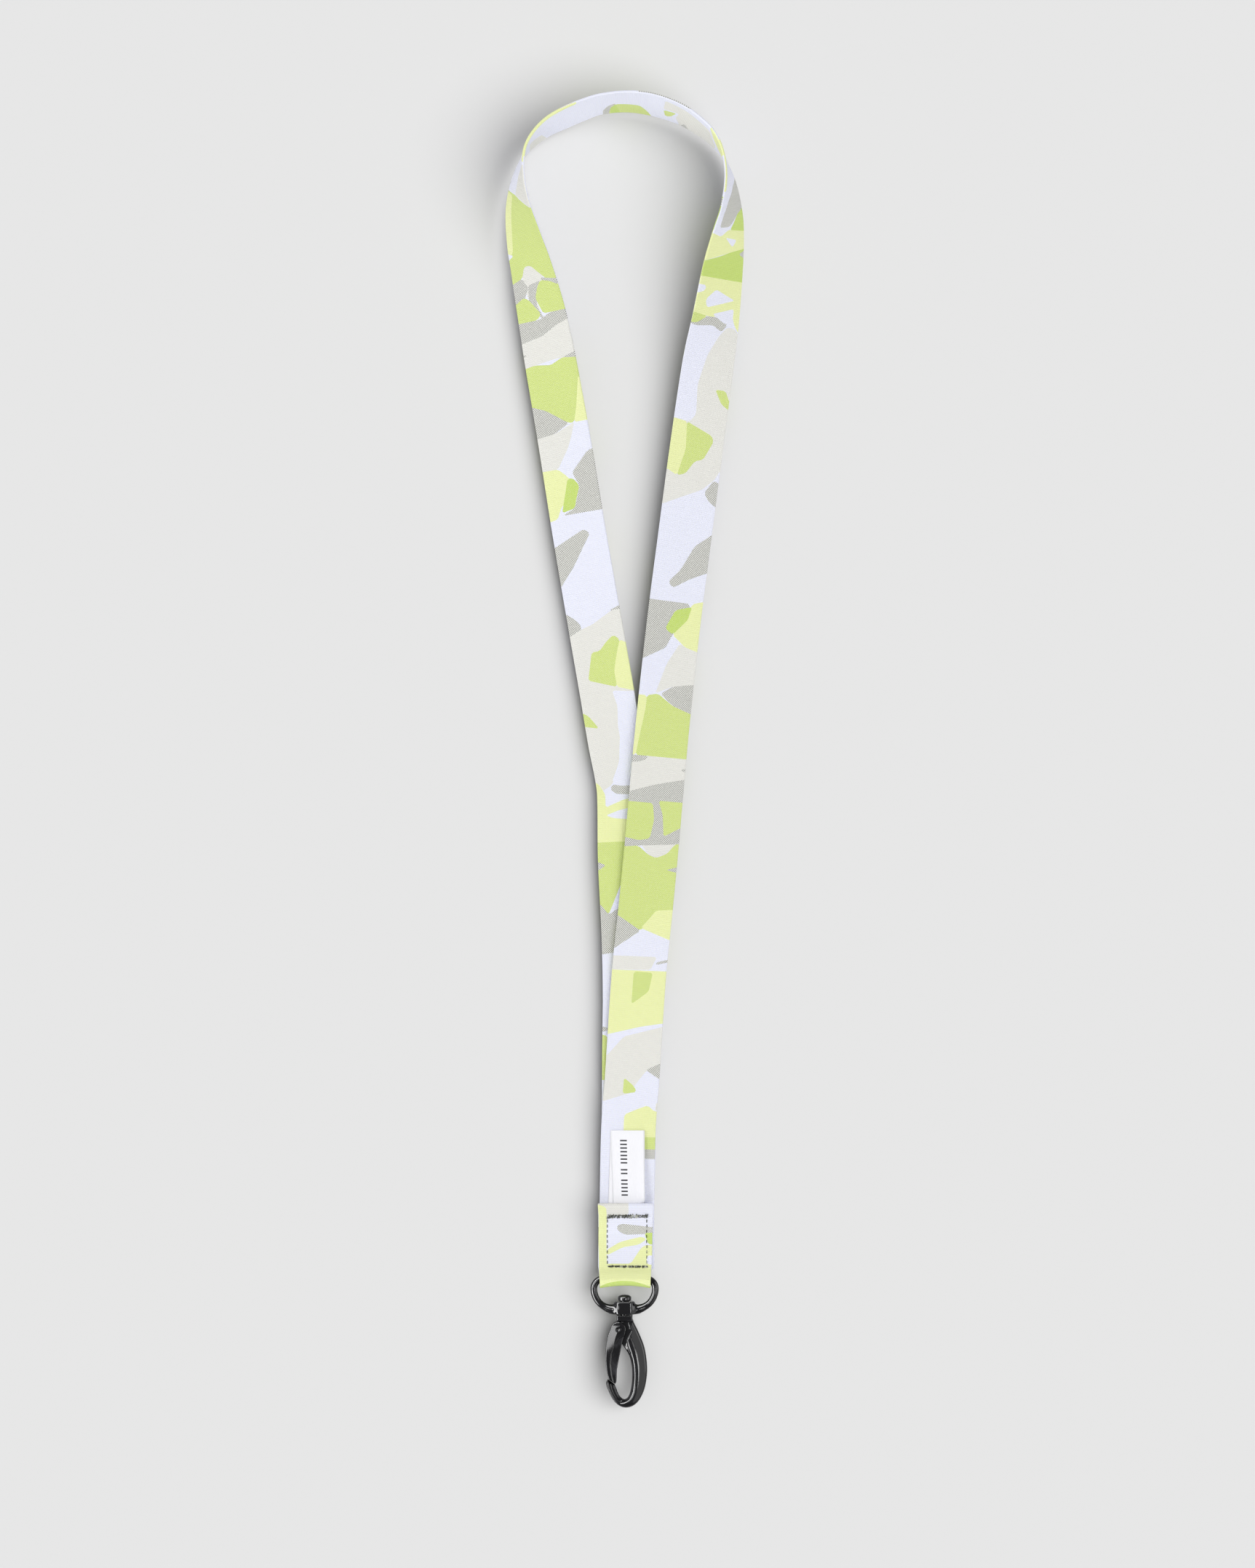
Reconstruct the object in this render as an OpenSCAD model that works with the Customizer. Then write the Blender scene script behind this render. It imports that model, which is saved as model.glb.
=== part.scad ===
// Neck lanyard: one length of flat printed webbing, sewn round a swivel ring with a trigger hook.
// Millimetres. +X runs across the lanyard, +Y towards the neck loop and +Z up from the table.

/* [Webbing] */
// Width of the webbing
web_w = 20; // [19:0.5:20]
// Thickness of the webbing
web_t = 1; // [0.8:0.1:1]

/* [Sewn joint] */
// Length of the stitched box along the strap
box_l = 20; // [18:0.5:20]
// Width of the stitched box
box_w = 15; // [13:0.5:16]
// Radius of the sewing thread
thread_r = 0.2; // [0.15:0.05:0.25]

/* [Label] */
// Width of the folded satin label
label_w = 12.5; // [10:0.5:14]
// Length of the label that shows above the tab
label_l = 26; // [20:1:30]
// Thickness of the folded label
label_t = 0.4; // [0.3:0.1:0.4]

/* [Ring] */
// Radius of the ring's rod
rod_r = 1.25; // [1:0.05:1.25]
// Outside width of the ring
ring_w = 25; // [24.9:0.1:26]
// Distance between the middle of the bar and the middle of the lower limb
ring_h = 11.25; // [11:0.25:12]
// Radius of the swivel hub before its faces are flattened
hub_r = 3.7; // [3.4:0.1:4]

/* [Hook] */
// Thickness of the hook's body
body_t = 4.6; // [4.4:0.1:5]
// Outside thickness of the gate over its two cheeks
gate_t = 4.4; // [4.3:0.1:4.4]
// Radius of the rivet's shank
shank_r = 1.5; // [1.2:0.1:1.5]
// Radius of the gate's pin
pin_r = 0.9; // [0.7:0.05:0.9]

/* [Hidden] */

$fn = 48;

// Air between sewn layers, and the room that a shaft has in its hole
layer_gap = 0.12;
running = 0.05;
seated = 0.01;

// The ring and hook lie in one plane at this height, and the ring turns about the bar
plane_z = 2.8;
bar_y = -192.5;

// Each row is x, y, tilt in degrees and lift of the middle of the webbing. Tilt 0 is flat, and at
// 90 the webbing stands on its outer edge. Lift is the height of that edge over the table.
right_leg = [
    [0.9, -189, 0, 1.12], [0.9, -165, 0, 1.12], [1.5, -136, 0.5, 1.12], [2.8, -118.5, 1.5, 1.05],
    [5.3, -80.5, 3, 0.9], [7.9, -55, 5, 0.5], [10, -33, 7, 0.2], [12.2, -8, 8, 0],
    [14.3, 14, 9.5, 0], [17.9, 47, 10, 0], [22, 79, 11, 0], [26.2, 111, 13, 0],
    [30.6, 142.5, 20, 0], [33.2, 158, 31, 0], [35.9, 177, 44, 0], [37.8, 189, 56, 0],
    [38.9, 198, 67, 0], [38.4, 209, 79, 0], [35.8, 218, 88, 0]
];
neck_arc = [
    [31.5, 224.5, 95, 0], [27, 228.3, 98.5, 0], [20.5, 232.5, 101, 0], [10.5, 236, 103, 0],
    [1.5, 237.2, 102, 0], [-8.5, 236.3, 101, 0], [-15.5, 234, 102, 0], [-22, 231.2, 102, 0],
    [-28, 228, 99, 0], [-33.3, 223.3, 94, 0], [-36.8, 218, 87, 0]
];
left_leg = [
    [-38.8, 209, 76, 0], [-38.8, 199, 64, 0], [-36.3, 186, 50, 0], [-34, 177, 42, 0],
    [-30.2, 160, 28, 0], [-27, 142.5, 20, 0], [-22, 114, 15, 0], [-16.5, 80, 11, 0],
    [-10.7, 46.5, 6.5, 0], [-6.5, 22.5, 3.5, 0], [-3.4, 4, 1.5, 0], [-1, -8, 0.5, 0],
    [-0.1, -15, 0, 0], [0.2, -38.5, 0, 0], [1.5, -66, 0, 0], [2, -88, 0, 0],
    [1.8, -108, 0, 0], [1.6, -136, 0, 0], [0.9, -165, 0, 0], [0.4, -180, 0, 0]
];

// Each row is x, y, height and width of the webbing on the tab, from the bar up to its hem
tab_face = [
    [0.2, -190.8, 4.4, 19.2], [0.2, -189.8, 3.6, 19.6], [0.2, -188.8, 3.2, 19.9], [0.3, -186, 3.1, 20],
    [0.3, -180, 3.1, 19.8], [0.3, -176.5, 3.3, 19.7], [0.4, -173.5, 4.1, 19.8], [0.5, -169, 4.36, 20]
];
fold_start = [0.2, -188, web_t / 2, 19.8];
hem_y = -165.8;
hem_low_z = 3.2;
hem_high_z = 4.36;
hem_end_y = -173.5;
hem_w = 20.4;
fold_w = 18.6;
tab_x = 0.4;
bar_fold_r = plane_z - web_t / 2;
selvedge = 0.35;

// The sewn joint
box_x = 1;
box_top_y = -169.4;
box_low_y = box_top_y - box_l + 1.5;
thread_gap = 0.02;
upper_tack_z = hem_high_z + web_t / 2 + thread_gap;
lower_tack_z = 3.7;
upper_tack_half = 0.8;
lower_tack_half = 0.5;

// The label
label_x = 1.1;
label_z = 2 * web_t + 2 * layer_gap;
label_axis_y = -164.3;
label_root_y = -172.5;
root_gap = 0.3;
flap_overlap = 0.05;

// The ring and its hub
half_w = ring_w / 2 - rod_r;
top_corner_r = 3;
low_corner_r = 6;
low_y = bar_y - ring_h;
hub_top_y = -200.7;
hub_low_y = -205.4;
hub_half_t = 2.75;
hub_bevel = 0.6;
arm_r = 1.8;

// The hook
neck_top_y = -205.55;
neck_low_y = -207.8;
neck_half_w = 3.05;
bore_spare = 0.1;
pivot = [-2.3, -210.8];
head_r = 2.75;
ear_r = 1.9;
tongue_half_t = 1.45;
channel_half_t = 1.6;
gate_web = 0.75;
slot_half_t = 0.7;
slot_r = 2.1;
leg_room = [3.2, 2];
recess_r = 4.1;
pin_head_r = 1.15;
pin_head_t = 0.2;
spring_r = 1.3;
spring_wire_r = 0.2;
spring_turns = 2;
spring_pitch = 0.42;

limb_outside = [
    [2.95, -207.5], [5.3, -212.3], [7.4, -218], [8.3, -225.5], [7.5, -232], [5.7, -236.3],
    [3.4, -238.7], [0.7, -239.5], [-1.7, -238.9], [-3.9, -237], [-5.6, -234], [-6.8, -230.6],
    [-6.1, -229.2]
];
limb_inside = [
    [-3.6, -231], [-3, -232.6], [-1.9, -235.1], [-0.3, -236.5], [1.1, -235.9], [2.1, -233.6],
    [2.7, -229.5], [2.6, -224.5], [1.6, -220.4], [-0.3, -217.2]
];
limb_root = [[-0.9, -215], [-0.9, -207.5]];
recess_flank = [
    [-1.5, -214], [1.2, -210], [2.5, -211.4], [0.85, -214.7], [0.85, -217], [1.9, -219.4],
    [1, -222.5], [-2, -219]
];
gate_outside = [[-4.6, -209.3], [-6.2, -213.5], [-7, -220.5], [-6.5, -226.6], [-5.75, -229.15]];
gate_inside = [[-3.45, -230.7], [-3, -230], [-2.7, -225.4], [-1.6, -219.4], [-0.8, -215.5], [0.3, -212]];

// Smooth curve through points that lie at uneven distances
function gap_after(p, i) = norm([p[i + 1].x - p[i].x, p[i + 1].y - p[i].y]);
function slope_at(p, i) =
    i == 0 ? (p[1] - p[0]) / gap_after(p, 0)
    : i == len(p) - 1 ? (p[i] - p[i - 1]) / gap_after(p, i - 1)
    : (p[i + 1] - p[i - 1]) / (gap_after(p, i - 1) + gap_after(p, i));
function between(p, i, u) =
    (2 * u ^ 3 - 3 * u ^ 2 + 1) * p[i]
    + (u ^ 3 - 2 * u ^ 2 + u) * gap_after(p, i) * slope_at(p, i)
    + (3 * u ^ 2 - 2 * u ^ 3) * p[i + 1]
    + (u ^ 3 - u ^ 2) * gap_after(p, i) * slope_at(p, i + 1);
function smooth(p, pitch) = concat(
    [for (i = [0 : len(p) - 2])
        let (n = max(1, ceil(gap_after(p, i) / pitch)))
        for (k = [0 : n - 1]) between(p, i, k / n)],
    [p[len(p) - 1]]);

// Frames are centre, across, along and width
function unit(v) = v / norm(v);
function chord(q, i) = unit(q[min(i + 1, len(q) - 1)] - q[max(i - 1, 0)]);
function place_of(r) = [r.x, r.y, web_w / 2 * sin(r[2]) + web_t / 2 * abs(cos(r[2])) + r[3]];
function lean_across(along, tilt) =
    let (side = unit(cross([0, 0, 1], along)), raw = side * cos(tilt) + [0, 0, sin(tilt)])
    unit(raw - (raw * along) * along);
function leg_frames(rows) =
    let (q = [for (r = rows) place_of(r)])
    [for (i = [0 : len(rows) - 1]) [q[i], lean_across(chord(q, i), rows[i][2]), chord(q, i), web_w]];
function fold_frames(rows) =
    let (q = [for (r = rows) [r[0], r[1], r[2]]])
    [for (i = [0 : len(rows) - 1]) [q[i], [1, 0, 0], chord(q, i), rows[i][3]]];

// Half turn of the webbing in the YZ plane, about the bar or in the hem
function half_turn(x, y, z, r, from, to, w) =
    [for (k = [0 : 8]) let (a = from + (to - from) * k / 8) [x, y + r * cos(a), z + r * sin(a), w]];
function tab_rows() = concat(
    [fold_start],
    half_turn(tab_x / 2, bar_y, plane_z, bar_fold_r, -90, -270, fold_w),
    tab_face,
    half_turn(tab_x, hem_y, (hem_low_z + hem_high_z) / 2, (hem_high_z - hem_low_z) / 2, 90, -90, hem_w),
    [[tab_x, (hem_y + hem_end_y) / 2, hem_low_z, web_w], [tab_x, hem_end_y, hem_low_z, web_w]]);

// Cross-section of the webbing, with rounded selvedges
function section(f) =
    let (up = cross(f[2], f[1]), h = web_t / 2, w = f[3] / 2, e = selvedge, s = h / 2)
    [for (p = [[w, s], [w - e, h], [e - w, h], [-w, s], [-w, -s], [e - w, -h], [w - e, -h], [w, -s]])
        f[0] + f[1] * p.x + up * p.y];

module skin(rings, sides) {
    n = len(rings);
    polyhedron(
        points = [for (r = rings) each r],
        faces = concat(
            [[for (k = [0 : sides - 1]) k]],
            [for (i = [0 : n - 2]) for (k = [0 : sides - 1]) each [
                [i * sides + k, (i + 1) * sides + k, (i + 1) * sides + (k + 1) % sides],
                [i * sides + k, (i + 1) * sides + (k + 1) % sides, i * sides + (k + 1) % sides]]],
            [[for (k = [sides - 1 : -1 : 0]) (n - 1) * sides + k]]));
}

module slab(half_t) {
    translate([0, 0, plane_z - half_t])
        linear_extrude(2 * half_t)
            children();
}

module along_y(y0, y1, r) {
    translate([0, y1, plane_z])
        rotate([90, 0, 0])
            cylinder(h = y1 - y0, r = r);
}

module along_x(y, half_l, r) {
    translate([-half_l, y, plane_z])
        rotate([0, 90, 0])
            cylinder(h = 2 * half_l, r = r);
}

module corner(x, y, bend_r, turn) {
    translate([x, y, plane_z])
        rotate([0, 0, turn])
            rotate_extrude(angle = 90)
                translate([bend_r, 0])
                    circle(r = rod_r);
}

// Neck strap

module neck_strap() {
    legs = leg_frames(smooth(concat(right_leg, neck_arc, left_leg), 5));
    frames = concat(legs, fold_frames(tab_rows()));
    color("honeydew")
        skin([for (f = frames) section(f)], 8);
}

// Label

module label_root() {
    color("white")
        translate([label_x - label_w / 2, label_root_y, label_z])
            cube([label_w, label_axis_y - root_gap - label_root_y, label_t]);
}

module label_flap() {
    color("white")
        translate([label_x - label_w / 2, label_axis_y - flap_overlap, label_z])
            cube([label_w, label_l, label_t]);
}

// Stitching

// One thread lies flat between two points of the tab's face
module stitch(x0, y0, x1, y1, z) {
    length = norm([x1 - x0, y1 - y0]);
    translate([x0, y0, z + thread_r])
        rotate([0, 0, atan2(y1 - y0, x1 - x0)])
            rotate([0, 90, 0])
                cylinder(h = length, r = thread_r, $fn = 16);
}

// A dense row of slanting threads
module tack(y, half_h, z) {
    count = 20;
    slant = 0.8;
    step = box_w / count;
    left = box_x - box_w / 2;
    color("darkslategray") {
        for (k = [0 : count - 1])
            stitch(left + k * step, y - half_h, left + (k + slant) * step, y + half_h, z);
        translate([left, y - thread_r, z])
            cube([box_w, 2 * thread_r, thread_r]);
    }
}

// Height of the tab's face along the side lines
function face_z(y) = web_t / 2 + thread_gap + lookup(-y, [for (r = tab_face) [-r.y, r.z]]);

module stitch_line(x) {
    pitch = 2.4;
    length = 1.8;
    end_gap = 1.6;
    first_y = box_low_y + 1.4;
    count = floor((box_l - 2 * end_gap) / pitch);
    color("darkslategray")
        for (k = [0 : count - 1]) {
            y0 = first_y + k * pitch;
            y1 = y0 + length;
            stitch(x, y0, x, y1, max(face_z(y0), face_z(y1)));
        }
}

module upper_bartack() {
    tack(box_top_y, upper_tack_half, upper_tack_z);
}

module lower_bartack() {
    tack(box_low_y, lower_tack_half, lower_tack_z);
}

module left_stitch_line() {
    stitch_line(box_x - box_w / 2 + 0.2);
}

module right_stitch_line() {
    stitch_line(box_x + box_w / 2 - 0.4);
}

// Swivel ring

module hub() {
    intersection() {
        translate([0, hub_top_y, plane_z])
            rotate([90, 0, 0])
                rotate_extrude()
                    polygon([
                        [0, 0], [hub_r - hub_bevel, 0], [hub_r, hub_bevel],
                        [hub_r, hub_top_y - hub_low_y - hub_bevel],
                        [hub_r - hub_bevel, hub_top_y - hub_low_y], [0, hub_top_y - hub_low_y]
                    ]);
        translate([-2 * hub_r, hub_low_y - 1, plane_z - hub_half_t])
            cube([4 * hub_r, hub_top_y - hub_low_y + 2, 2 * hub_half_t]);
    }
}

module swivel_ring() {
    top_x = half_w - top_corner_r;
    low_x = half_w - low_corner_r;
    side_top_y = bar_y - top_corner_r;
    side_low_y = low_y + low_corner_r;
    color("black")
        difference() {
            union() {
                along_x(bar_y, top_x, rod_r);
                corner(top_x, side_top_y, top_corner_r, 0);
                corner(-top_x, side_top_y, top_corner_r, 90);
                for (x = [-half_w, half_w])
                    translate([x, 0, 0])
                        along_y(side_low_y, side_top_y, rod_r);
                corner(-low_x, side_low_y, low_corner_r, 180);
                corner(low_x, side_low_y, low_corner_r, 270);
                along_x(low_y, low_x, arm_r);
                hub();
            }
            along_y(hub_low_y - 1, hub_top_y + 1, shank_r + running);
        }
}

// Swivel rivet: the head turns over the hub and the shank is fast in the hook's neck

module swivel_rivet() {
    head_r = 2.45;
    head_l = 2.3;
    head_bevel = 0.5;
    axial_gap = 0.2;
    shank_l = 7.3;
    color("black")
        translate([0, hub_top_y + axial_gap, plane_z])
            rotate([90, 0, 0])
                rotate_extrude()
                    polygon([
                        [0, -head_l], [head_r - head_bevel, -head_l], [head_r, head_bevel - head_l],
                        [head_r, 0], [shank_r, 0], [shank_r, shank_l], [0, shank_l]
                    ]);
}

// Hook

module hook_outline() {
    polygon(concat(smooth(limb_outside, 1.5), smooth(limb_inside, 1.5), limb_root));
}

module tongue_outline() {
    translate(pivot)
        circle(r = ear_r);
    polygon([
        pivot + [-0.3, ear_r - 0.05], [1.5, neck_low_y + 0.4], [3, neck_low_y], [2, -214], [-0.3, -217.2],
        pivot + [-1.5, -1.1]
    ]);
}

module hook_body() {
    color("black")
        difference() {
            union() {
                difference() {
                    slab(body_t / 2)
                        hook_outline();
                    for (side = [-1, 1])
                        translate([0, 0, side * (tongue_half_t + body_t / 2)])
                            slab(body_t / 2) {
                                translate(pivot)
                                    circle(r = recess_r);
                                polygon(recess_flank);
                            }
                }
                slab(tongue_half_t)
                    tongue_outline();
                slab(body_t / 2)
                    translate([-neck_half_w, neck_low_y])
                        square([2 * neck_half_w, neck_top_y - neck_low_y]);
            }
            along_y(neck_low_y - bore_spare, neck_top_y + 1, shank_r + seated);
            slab(body_t)
                translate(pivot)
                    circle(r = pin_r + seated);
            slab(slot_half_t) {
                translate(pivot)
                    circle(r = slot_r);
                translate(pivot + [0, -0.2])
                    square(leg_room);
            }
        }
}

module gate_outline() {
    translate(pivot)
        circle(r = head_r);
    polygon(concat(smooth(gate_outside, 1.5), smooth(gate_inside, 1.5)));
}

module gate() {
    color("black")
        difference() {
            slab(gate_t / 2)
                gate_outline();
            slab(channel_half_t)
                translate([gate_web, 0])
                    gate_outline();
            slab(body_t)
                translate(pivot)
                    circle(r = pin_r + running);
        }
}

// Gate pin: peened at both ends over the gate's cheeks

module gate_pin() {
    head_gap = 0.1;
    face = gate_t / 2 + head_gap;
    color("black") {
        slab(face)
            translate(pivot)
                circle(r = pin_r);
        for (side = [-1, 1])
            translate([0, 0, side * (face + pin_head_t / 2)])
                slab(pin_head_t / 2)
                    translate(pivot)
                        circle(r = pin_head_r);
    }
}

// Gate spring: a torsion coil round the pin, with one leg on the gate and one on the body

function coil_point(a) = [
    pivot.x + spring_r * cos(a), pivot.y + spring_r * sin(a),
    plane_z + spring_pitch * (a / 360 - spring_turns / 2 - 1 / 6)
];
function spring_route() =
    let (first = 200, last = 360 * spring_turns + 40, gate_leg = [-0.8, -4, -0.16], body_leg = [1.9, 0.7, 0])
    concat(
        [coil_point(first) + gate_leg],
        [for (a = [first : 20 : last]) coil_point(a)],
        [coil_point(last) + body_leg]);

module gate_spring() {
    sides = 8;
    q = spring_route();
    color("silver")
        skin([
            for (i = [0 : len(q) - 1])
                let (t = chord(q, i), a = unit(cross([0, 0, 1], t)), b = cross(t, a))
                [for (k = [0 : sides - 1])
                    q[i] + spring_wire_r * (a * cos(-k * 360 / sides) + b * sin(-k * 360 / sides))]
        ], sides);
}

neck_strap();
label_root();
label_flap();
upper_bartack();
lower_bartack();
left_stitch_line();
right_stitch_line();
swivel_ring();
swivel_rivet();
hook_body();
gate();
gate_pin();
gate_spring();
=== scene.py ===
"""Neck lanyard: the looks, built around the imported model. Lengths are in millimetres up to make_mesh."""

from math import ceil, cos, pi, radians, sin

import bpy
import numpy as np
from mathutils.geometry import delaunay_2d_cdt
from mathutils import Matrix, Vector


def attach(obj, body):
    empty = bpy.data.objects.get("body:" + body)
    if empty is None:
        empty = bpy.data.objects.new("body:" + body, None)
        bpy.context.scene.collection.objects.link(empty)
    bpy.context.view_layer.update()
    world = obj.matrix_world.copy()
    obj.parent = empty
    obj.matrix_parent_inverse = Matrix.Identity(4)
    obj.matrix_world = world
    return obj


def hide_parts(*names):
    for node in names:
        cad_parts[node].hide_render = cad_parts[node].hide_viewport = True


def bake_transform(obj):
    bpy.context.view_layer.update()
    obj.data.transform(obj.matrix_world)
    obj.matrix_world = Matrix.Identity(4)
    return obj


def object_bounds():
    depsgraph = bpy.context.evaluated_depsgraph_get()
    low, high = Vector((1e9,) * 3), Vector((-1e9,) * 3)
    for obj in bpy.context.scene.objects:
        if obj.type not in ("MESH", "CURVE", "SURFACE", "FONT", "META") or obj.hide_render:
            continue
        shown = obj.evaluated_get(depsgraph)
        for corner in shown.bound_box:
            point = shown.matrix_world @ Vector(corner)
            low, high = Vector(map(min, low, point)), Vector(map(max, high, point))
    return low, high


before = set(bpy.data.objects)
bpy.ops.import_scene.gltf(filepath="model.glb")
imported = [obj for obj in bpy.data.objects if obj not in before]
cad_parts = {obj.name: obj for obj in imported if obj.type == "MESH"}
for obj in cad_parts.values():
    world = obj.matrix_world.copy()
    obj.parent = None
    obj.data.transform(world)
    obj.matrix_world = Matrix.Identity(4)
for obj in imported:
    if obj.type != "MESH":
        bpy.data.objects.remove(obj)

cad_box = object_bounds()

MM, TINY = 0.001, 1e-9
scene = bpy.context.scene


def put(name, data):
    """A new object in the scene."""
    obj = bpy.data.objects.new(name, data)
    scene.collection.objects.link(obj)
    return obj


# ---------- camera, sky and lights

CAMERA_AT = (1.07 * MM, -11.4 * MM, 1.5)
LENS, SENSOR_HEIGHT, SKY_STRENGTH = 93.93, 36, 0.39

camera_data = bpy.data.cameras.new("camera")
camera_data.sensor_fit = "VERTICAL"
camera_data.sensor_height = SENSOR_HEIGHT
camera_data.lens = LENS
camera = put("camera", camera_data)
camera.location = CAMERA_AT
bpy.context.scene.camera = camera
scene.view_settings.view_transform = "Standard"

world = bpy.data.worlds.new("studio")
scene.world = world
world.use_nodes = True
sky = world.node_tree.nodes["Background"].inputs
sky["Color"].default_value = (1, 1, 1, 1)
sky["Strength"].default_value = SKY_STRENGTH


def lit_group(name, suns):
    """A collection with suns of its own. A sun has its energy, then in degrees its height above the
    floor, its turn from +X towards +Y, and its width in the sky."""
    group = bpy.data.collections.new(name)
    for sun, (energy, height, turn, width) in suns.items():
        data = bpy.data.lights.new(sun, "SUN")
        data.energy = energy
        data.angle = radians(width)
        light = put(sun, data)
        light.rotation_euler = (0, pi / 2 - radians(height), radians(turn))
        light.light_linking.receiver_collection = group
    return group


# The floor, the soft goods and the metal each have lights of their own, so that the part is evenly lit,
# the metal is glossy and the floor still takes a clear shadow
only_floor = lit_group("only_floor", {
    "key_on_floor": (4.58, 60, -12, 64), "fill_on_floor": (0.3, 90, 0, 140)})
soft_goods = lit_group("soft_goods", {
    "key_on_part": (0.96, 58, -17, 60), "fill_left": (1.35, 30, 172, 26),
    "fill_front": (1.55, 16, -90, 60), "fill_back": (0.6, 32, 60, 26)})
only_metal = lit_group("only_metal", {
    **{"gloss_%d" % turn: (6.4, 31, turn, 32) for turn in (95, 125, 155, 185, 212)},
    "gloss_high": (1.9, 66, 165, 22), "gloss_right": (2.4, 30, -10, 70),
    "gloss_edge": (1.3, 12, 10, 40), "gloss_streak": (0.6, 68, -18, 10)})


# ---------- small helpers

def linear(r, g, b):
    """Colour given as 0-255 display values, as the shader's linear values."""
    return tuple(((c / 255 + 0.055) / 1.055) ** 2.4 for c in (r, g, b)) + (1,)


def unit(v):
    return v / np.linalg.norm(v, axis=-1, keepdims=True)


def make_mesh(name, points, faces, normals=None, tag=None):
    """A smooth-shaded object from points in millimetres. tag holds one number for each point."""
    mesh = bpy.data.meshes.new(name)
    mesh.from_pydata((np.asarray(points, float) * MM).tolist(), [], [tuple(int(i) for i in f) for f in faces])
    mesh.polygons.foreach_set("use_smooth", [True] * len(mesh.polygons))
    if tag is not None:
        mesh.attributes.new("edge", "FLOAT", "POINT").data.foreach_set("value", np.asarray(tag, np.float32))
    if normals is not None:
        mesh.normals_split_custom_set_from_vertices(np.asarray(normals, float).tolist())
    return put(name, mesh)


def set_flat(obj, flat):
    """Give each point its place on the flat sheet, in millimetres."""
    corners = np.empty(len(obj.data.loops), int)
    obj.data.loops.foreach_get("vertex_index", corners)
    obj.data.uv_layers.new(name="flat").data.foreach_set("uv", flat[corners].ravel())


class Nodes:
    """Short calls for a material's node tree."""

    def __init__(self, name):
        self.material = bpy.data.materials.new(name)
        self.material.use_nodes = True
        self.tree = self.material.node_tree
        self.shader = self.tree.nodes["Principled BSDF"]

    def add(self, kind, *links, **settings):
        node = self.tree.nodes.new(kind)
        for key, value in settings.items():
            setattr(node, key, value)
        for socket, source in links:
            target = node.inputs[socket]
            if isinstance(source, bpy.types.NodeSocket):
                self.tree.links.new(source, target)
            else:
                target.default_value = source
        return node

    def math(self, operation, a, b=0.0, c=0.0):
        return self.add("ShaderNodeMath", (0, a), (1, b), (2, c), operation=operation).outputs[0]

    def mix(self, factor, a, b, blend="MIX"):
        links = (0, factor), (6, a), (7, b)
        return self.add("ShaderNodeMix", *links, data_type="RGBA", blend_type=blend).outputs[2]

    def noise(self, vector, scale, detail=2.0):
        links = ("Vector", vector), ("Scale", scale), ("Detail", detail)
        return self.add("ShaderNodeTexNoise", *links).outputs[0]

    def ramp(self, value, low, high):
        links = ("Value", value), ("From Min", low), ("From Max", high)
        return self.add("ShaderNodeMapRange", *links).outputs[0]

    def wave(self, value, pitch):
        return self.math("SINE", self.math("MULTIPLY", value, 2 * pi / pitch))

    def split(self, vector):
        return self.add("ShaderNodeSeparateXYZ", (0, vector)).outputs[:2]

    def attribute(self, name, output):
        return self.add("ShaderNodeAttribute", attribute_name=name).outputs[output]

    def flat_space(self):
        return self.add("ShaderNodeUVMap", uv_map="flat").outputs[0]

    def object_space(self):
        return self.add("ShaderNodeTexCoord").outputs["Object"]

    def surface(self, colour, roughness, height, distance):
        """Link the shader's colour, roughness and bump, which stands distance metres high."""
        bump = self.add("ShaderNodeBump", ("Height", height), ("Distance", distance)).outputs[0]
        for socket, source in (("Base Color", colour), ("Roughness", roughness), ("Normal", bump)):
            self.tree.links.new(source, self.shader.inputs[socket])

    def set(self, **values):
        for key, value in values.items():
            self.shader.inputs[key.replace("_", " ")].default_value = value


# ---------- materials

# Pitches of the weaves along the flat sheets in millimetres, and of the thread's twist in metres
RIB_PITCH, WARP_PITCH, CHECK_PITCH, SATIN_PITCH, TWIST_PITCH = 0.84, 0.56, 0.78, 0.22, 0.00033


def webbing_material():
    """Printed polyester webbing: ribs across, fine warp columns, a woven crosshatch in the grey print, and
    painted shade along the grooves between the ribs.
    """
    n = Nodes("printed_webbing")
    flat = n.flat_space()
    along, across = n.split(flat)
    ribs = n.math("ABSOLUTE", n.wave(along, RIB_PITCH))
    weave = n.math("MULTIPLY", ribs, n.math("MULTIPLY_ADD", n.wave(across, WARP_PITCH), 0.25, 0.75))
    checks = n.math("MULTIPLY", n.wave(along, CHECK_PITCH), n.wave(across, CHECK_PITCH))
    uneven = n.math("MULTIPLY_ADD", n.noise(flat, 1.3), 0.5, -0.25)
    threads = n.ramp(n.math("ADD", checks, uneven), -0.3, 0.3)
    specks = n.ramp(n.noise(flat, 2.2, 1.0), 0.45, 0.62)
    heather = n.mix(n.math("MULTIPLY", specks, 0.16), n.attribute("print", "Color"), linear(246, 248, 226))
    hatched = n.math("MULTIPLY", threads, n.attribute("hatch", "Fac"))
    dark = n.mix(hatched, heather, linear(158, 158, 154), "MULTIPLY")
    # shade, and the grey colour made from it, darken the webbing by up to 7 % along the grooves between the
    # ribs: painted shade
    shade = n.math("MULTIPLY_ADD", weave, 0.07, 0.93)
    grey = n.add("ShaderNodeCombineColor", (0, shade), (1, shade), (2, shade)).outputs[0]
    height = n.math("MULTIPLY_ADD", n.noise(flat, 0.6, 3.0), 0.35, weave)
    n.surface(n.mix(1.0, dark, grey, "MULTIPLY"), n.math("MULTIPLY_ADD", weave, -0.1, 0.85), height, 0.00011)
    n.set(Sheen_Weight=0.12, Sheen_Roughness=0.5, Specular_IOR_Level=0.3)
    return n.material


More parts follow.
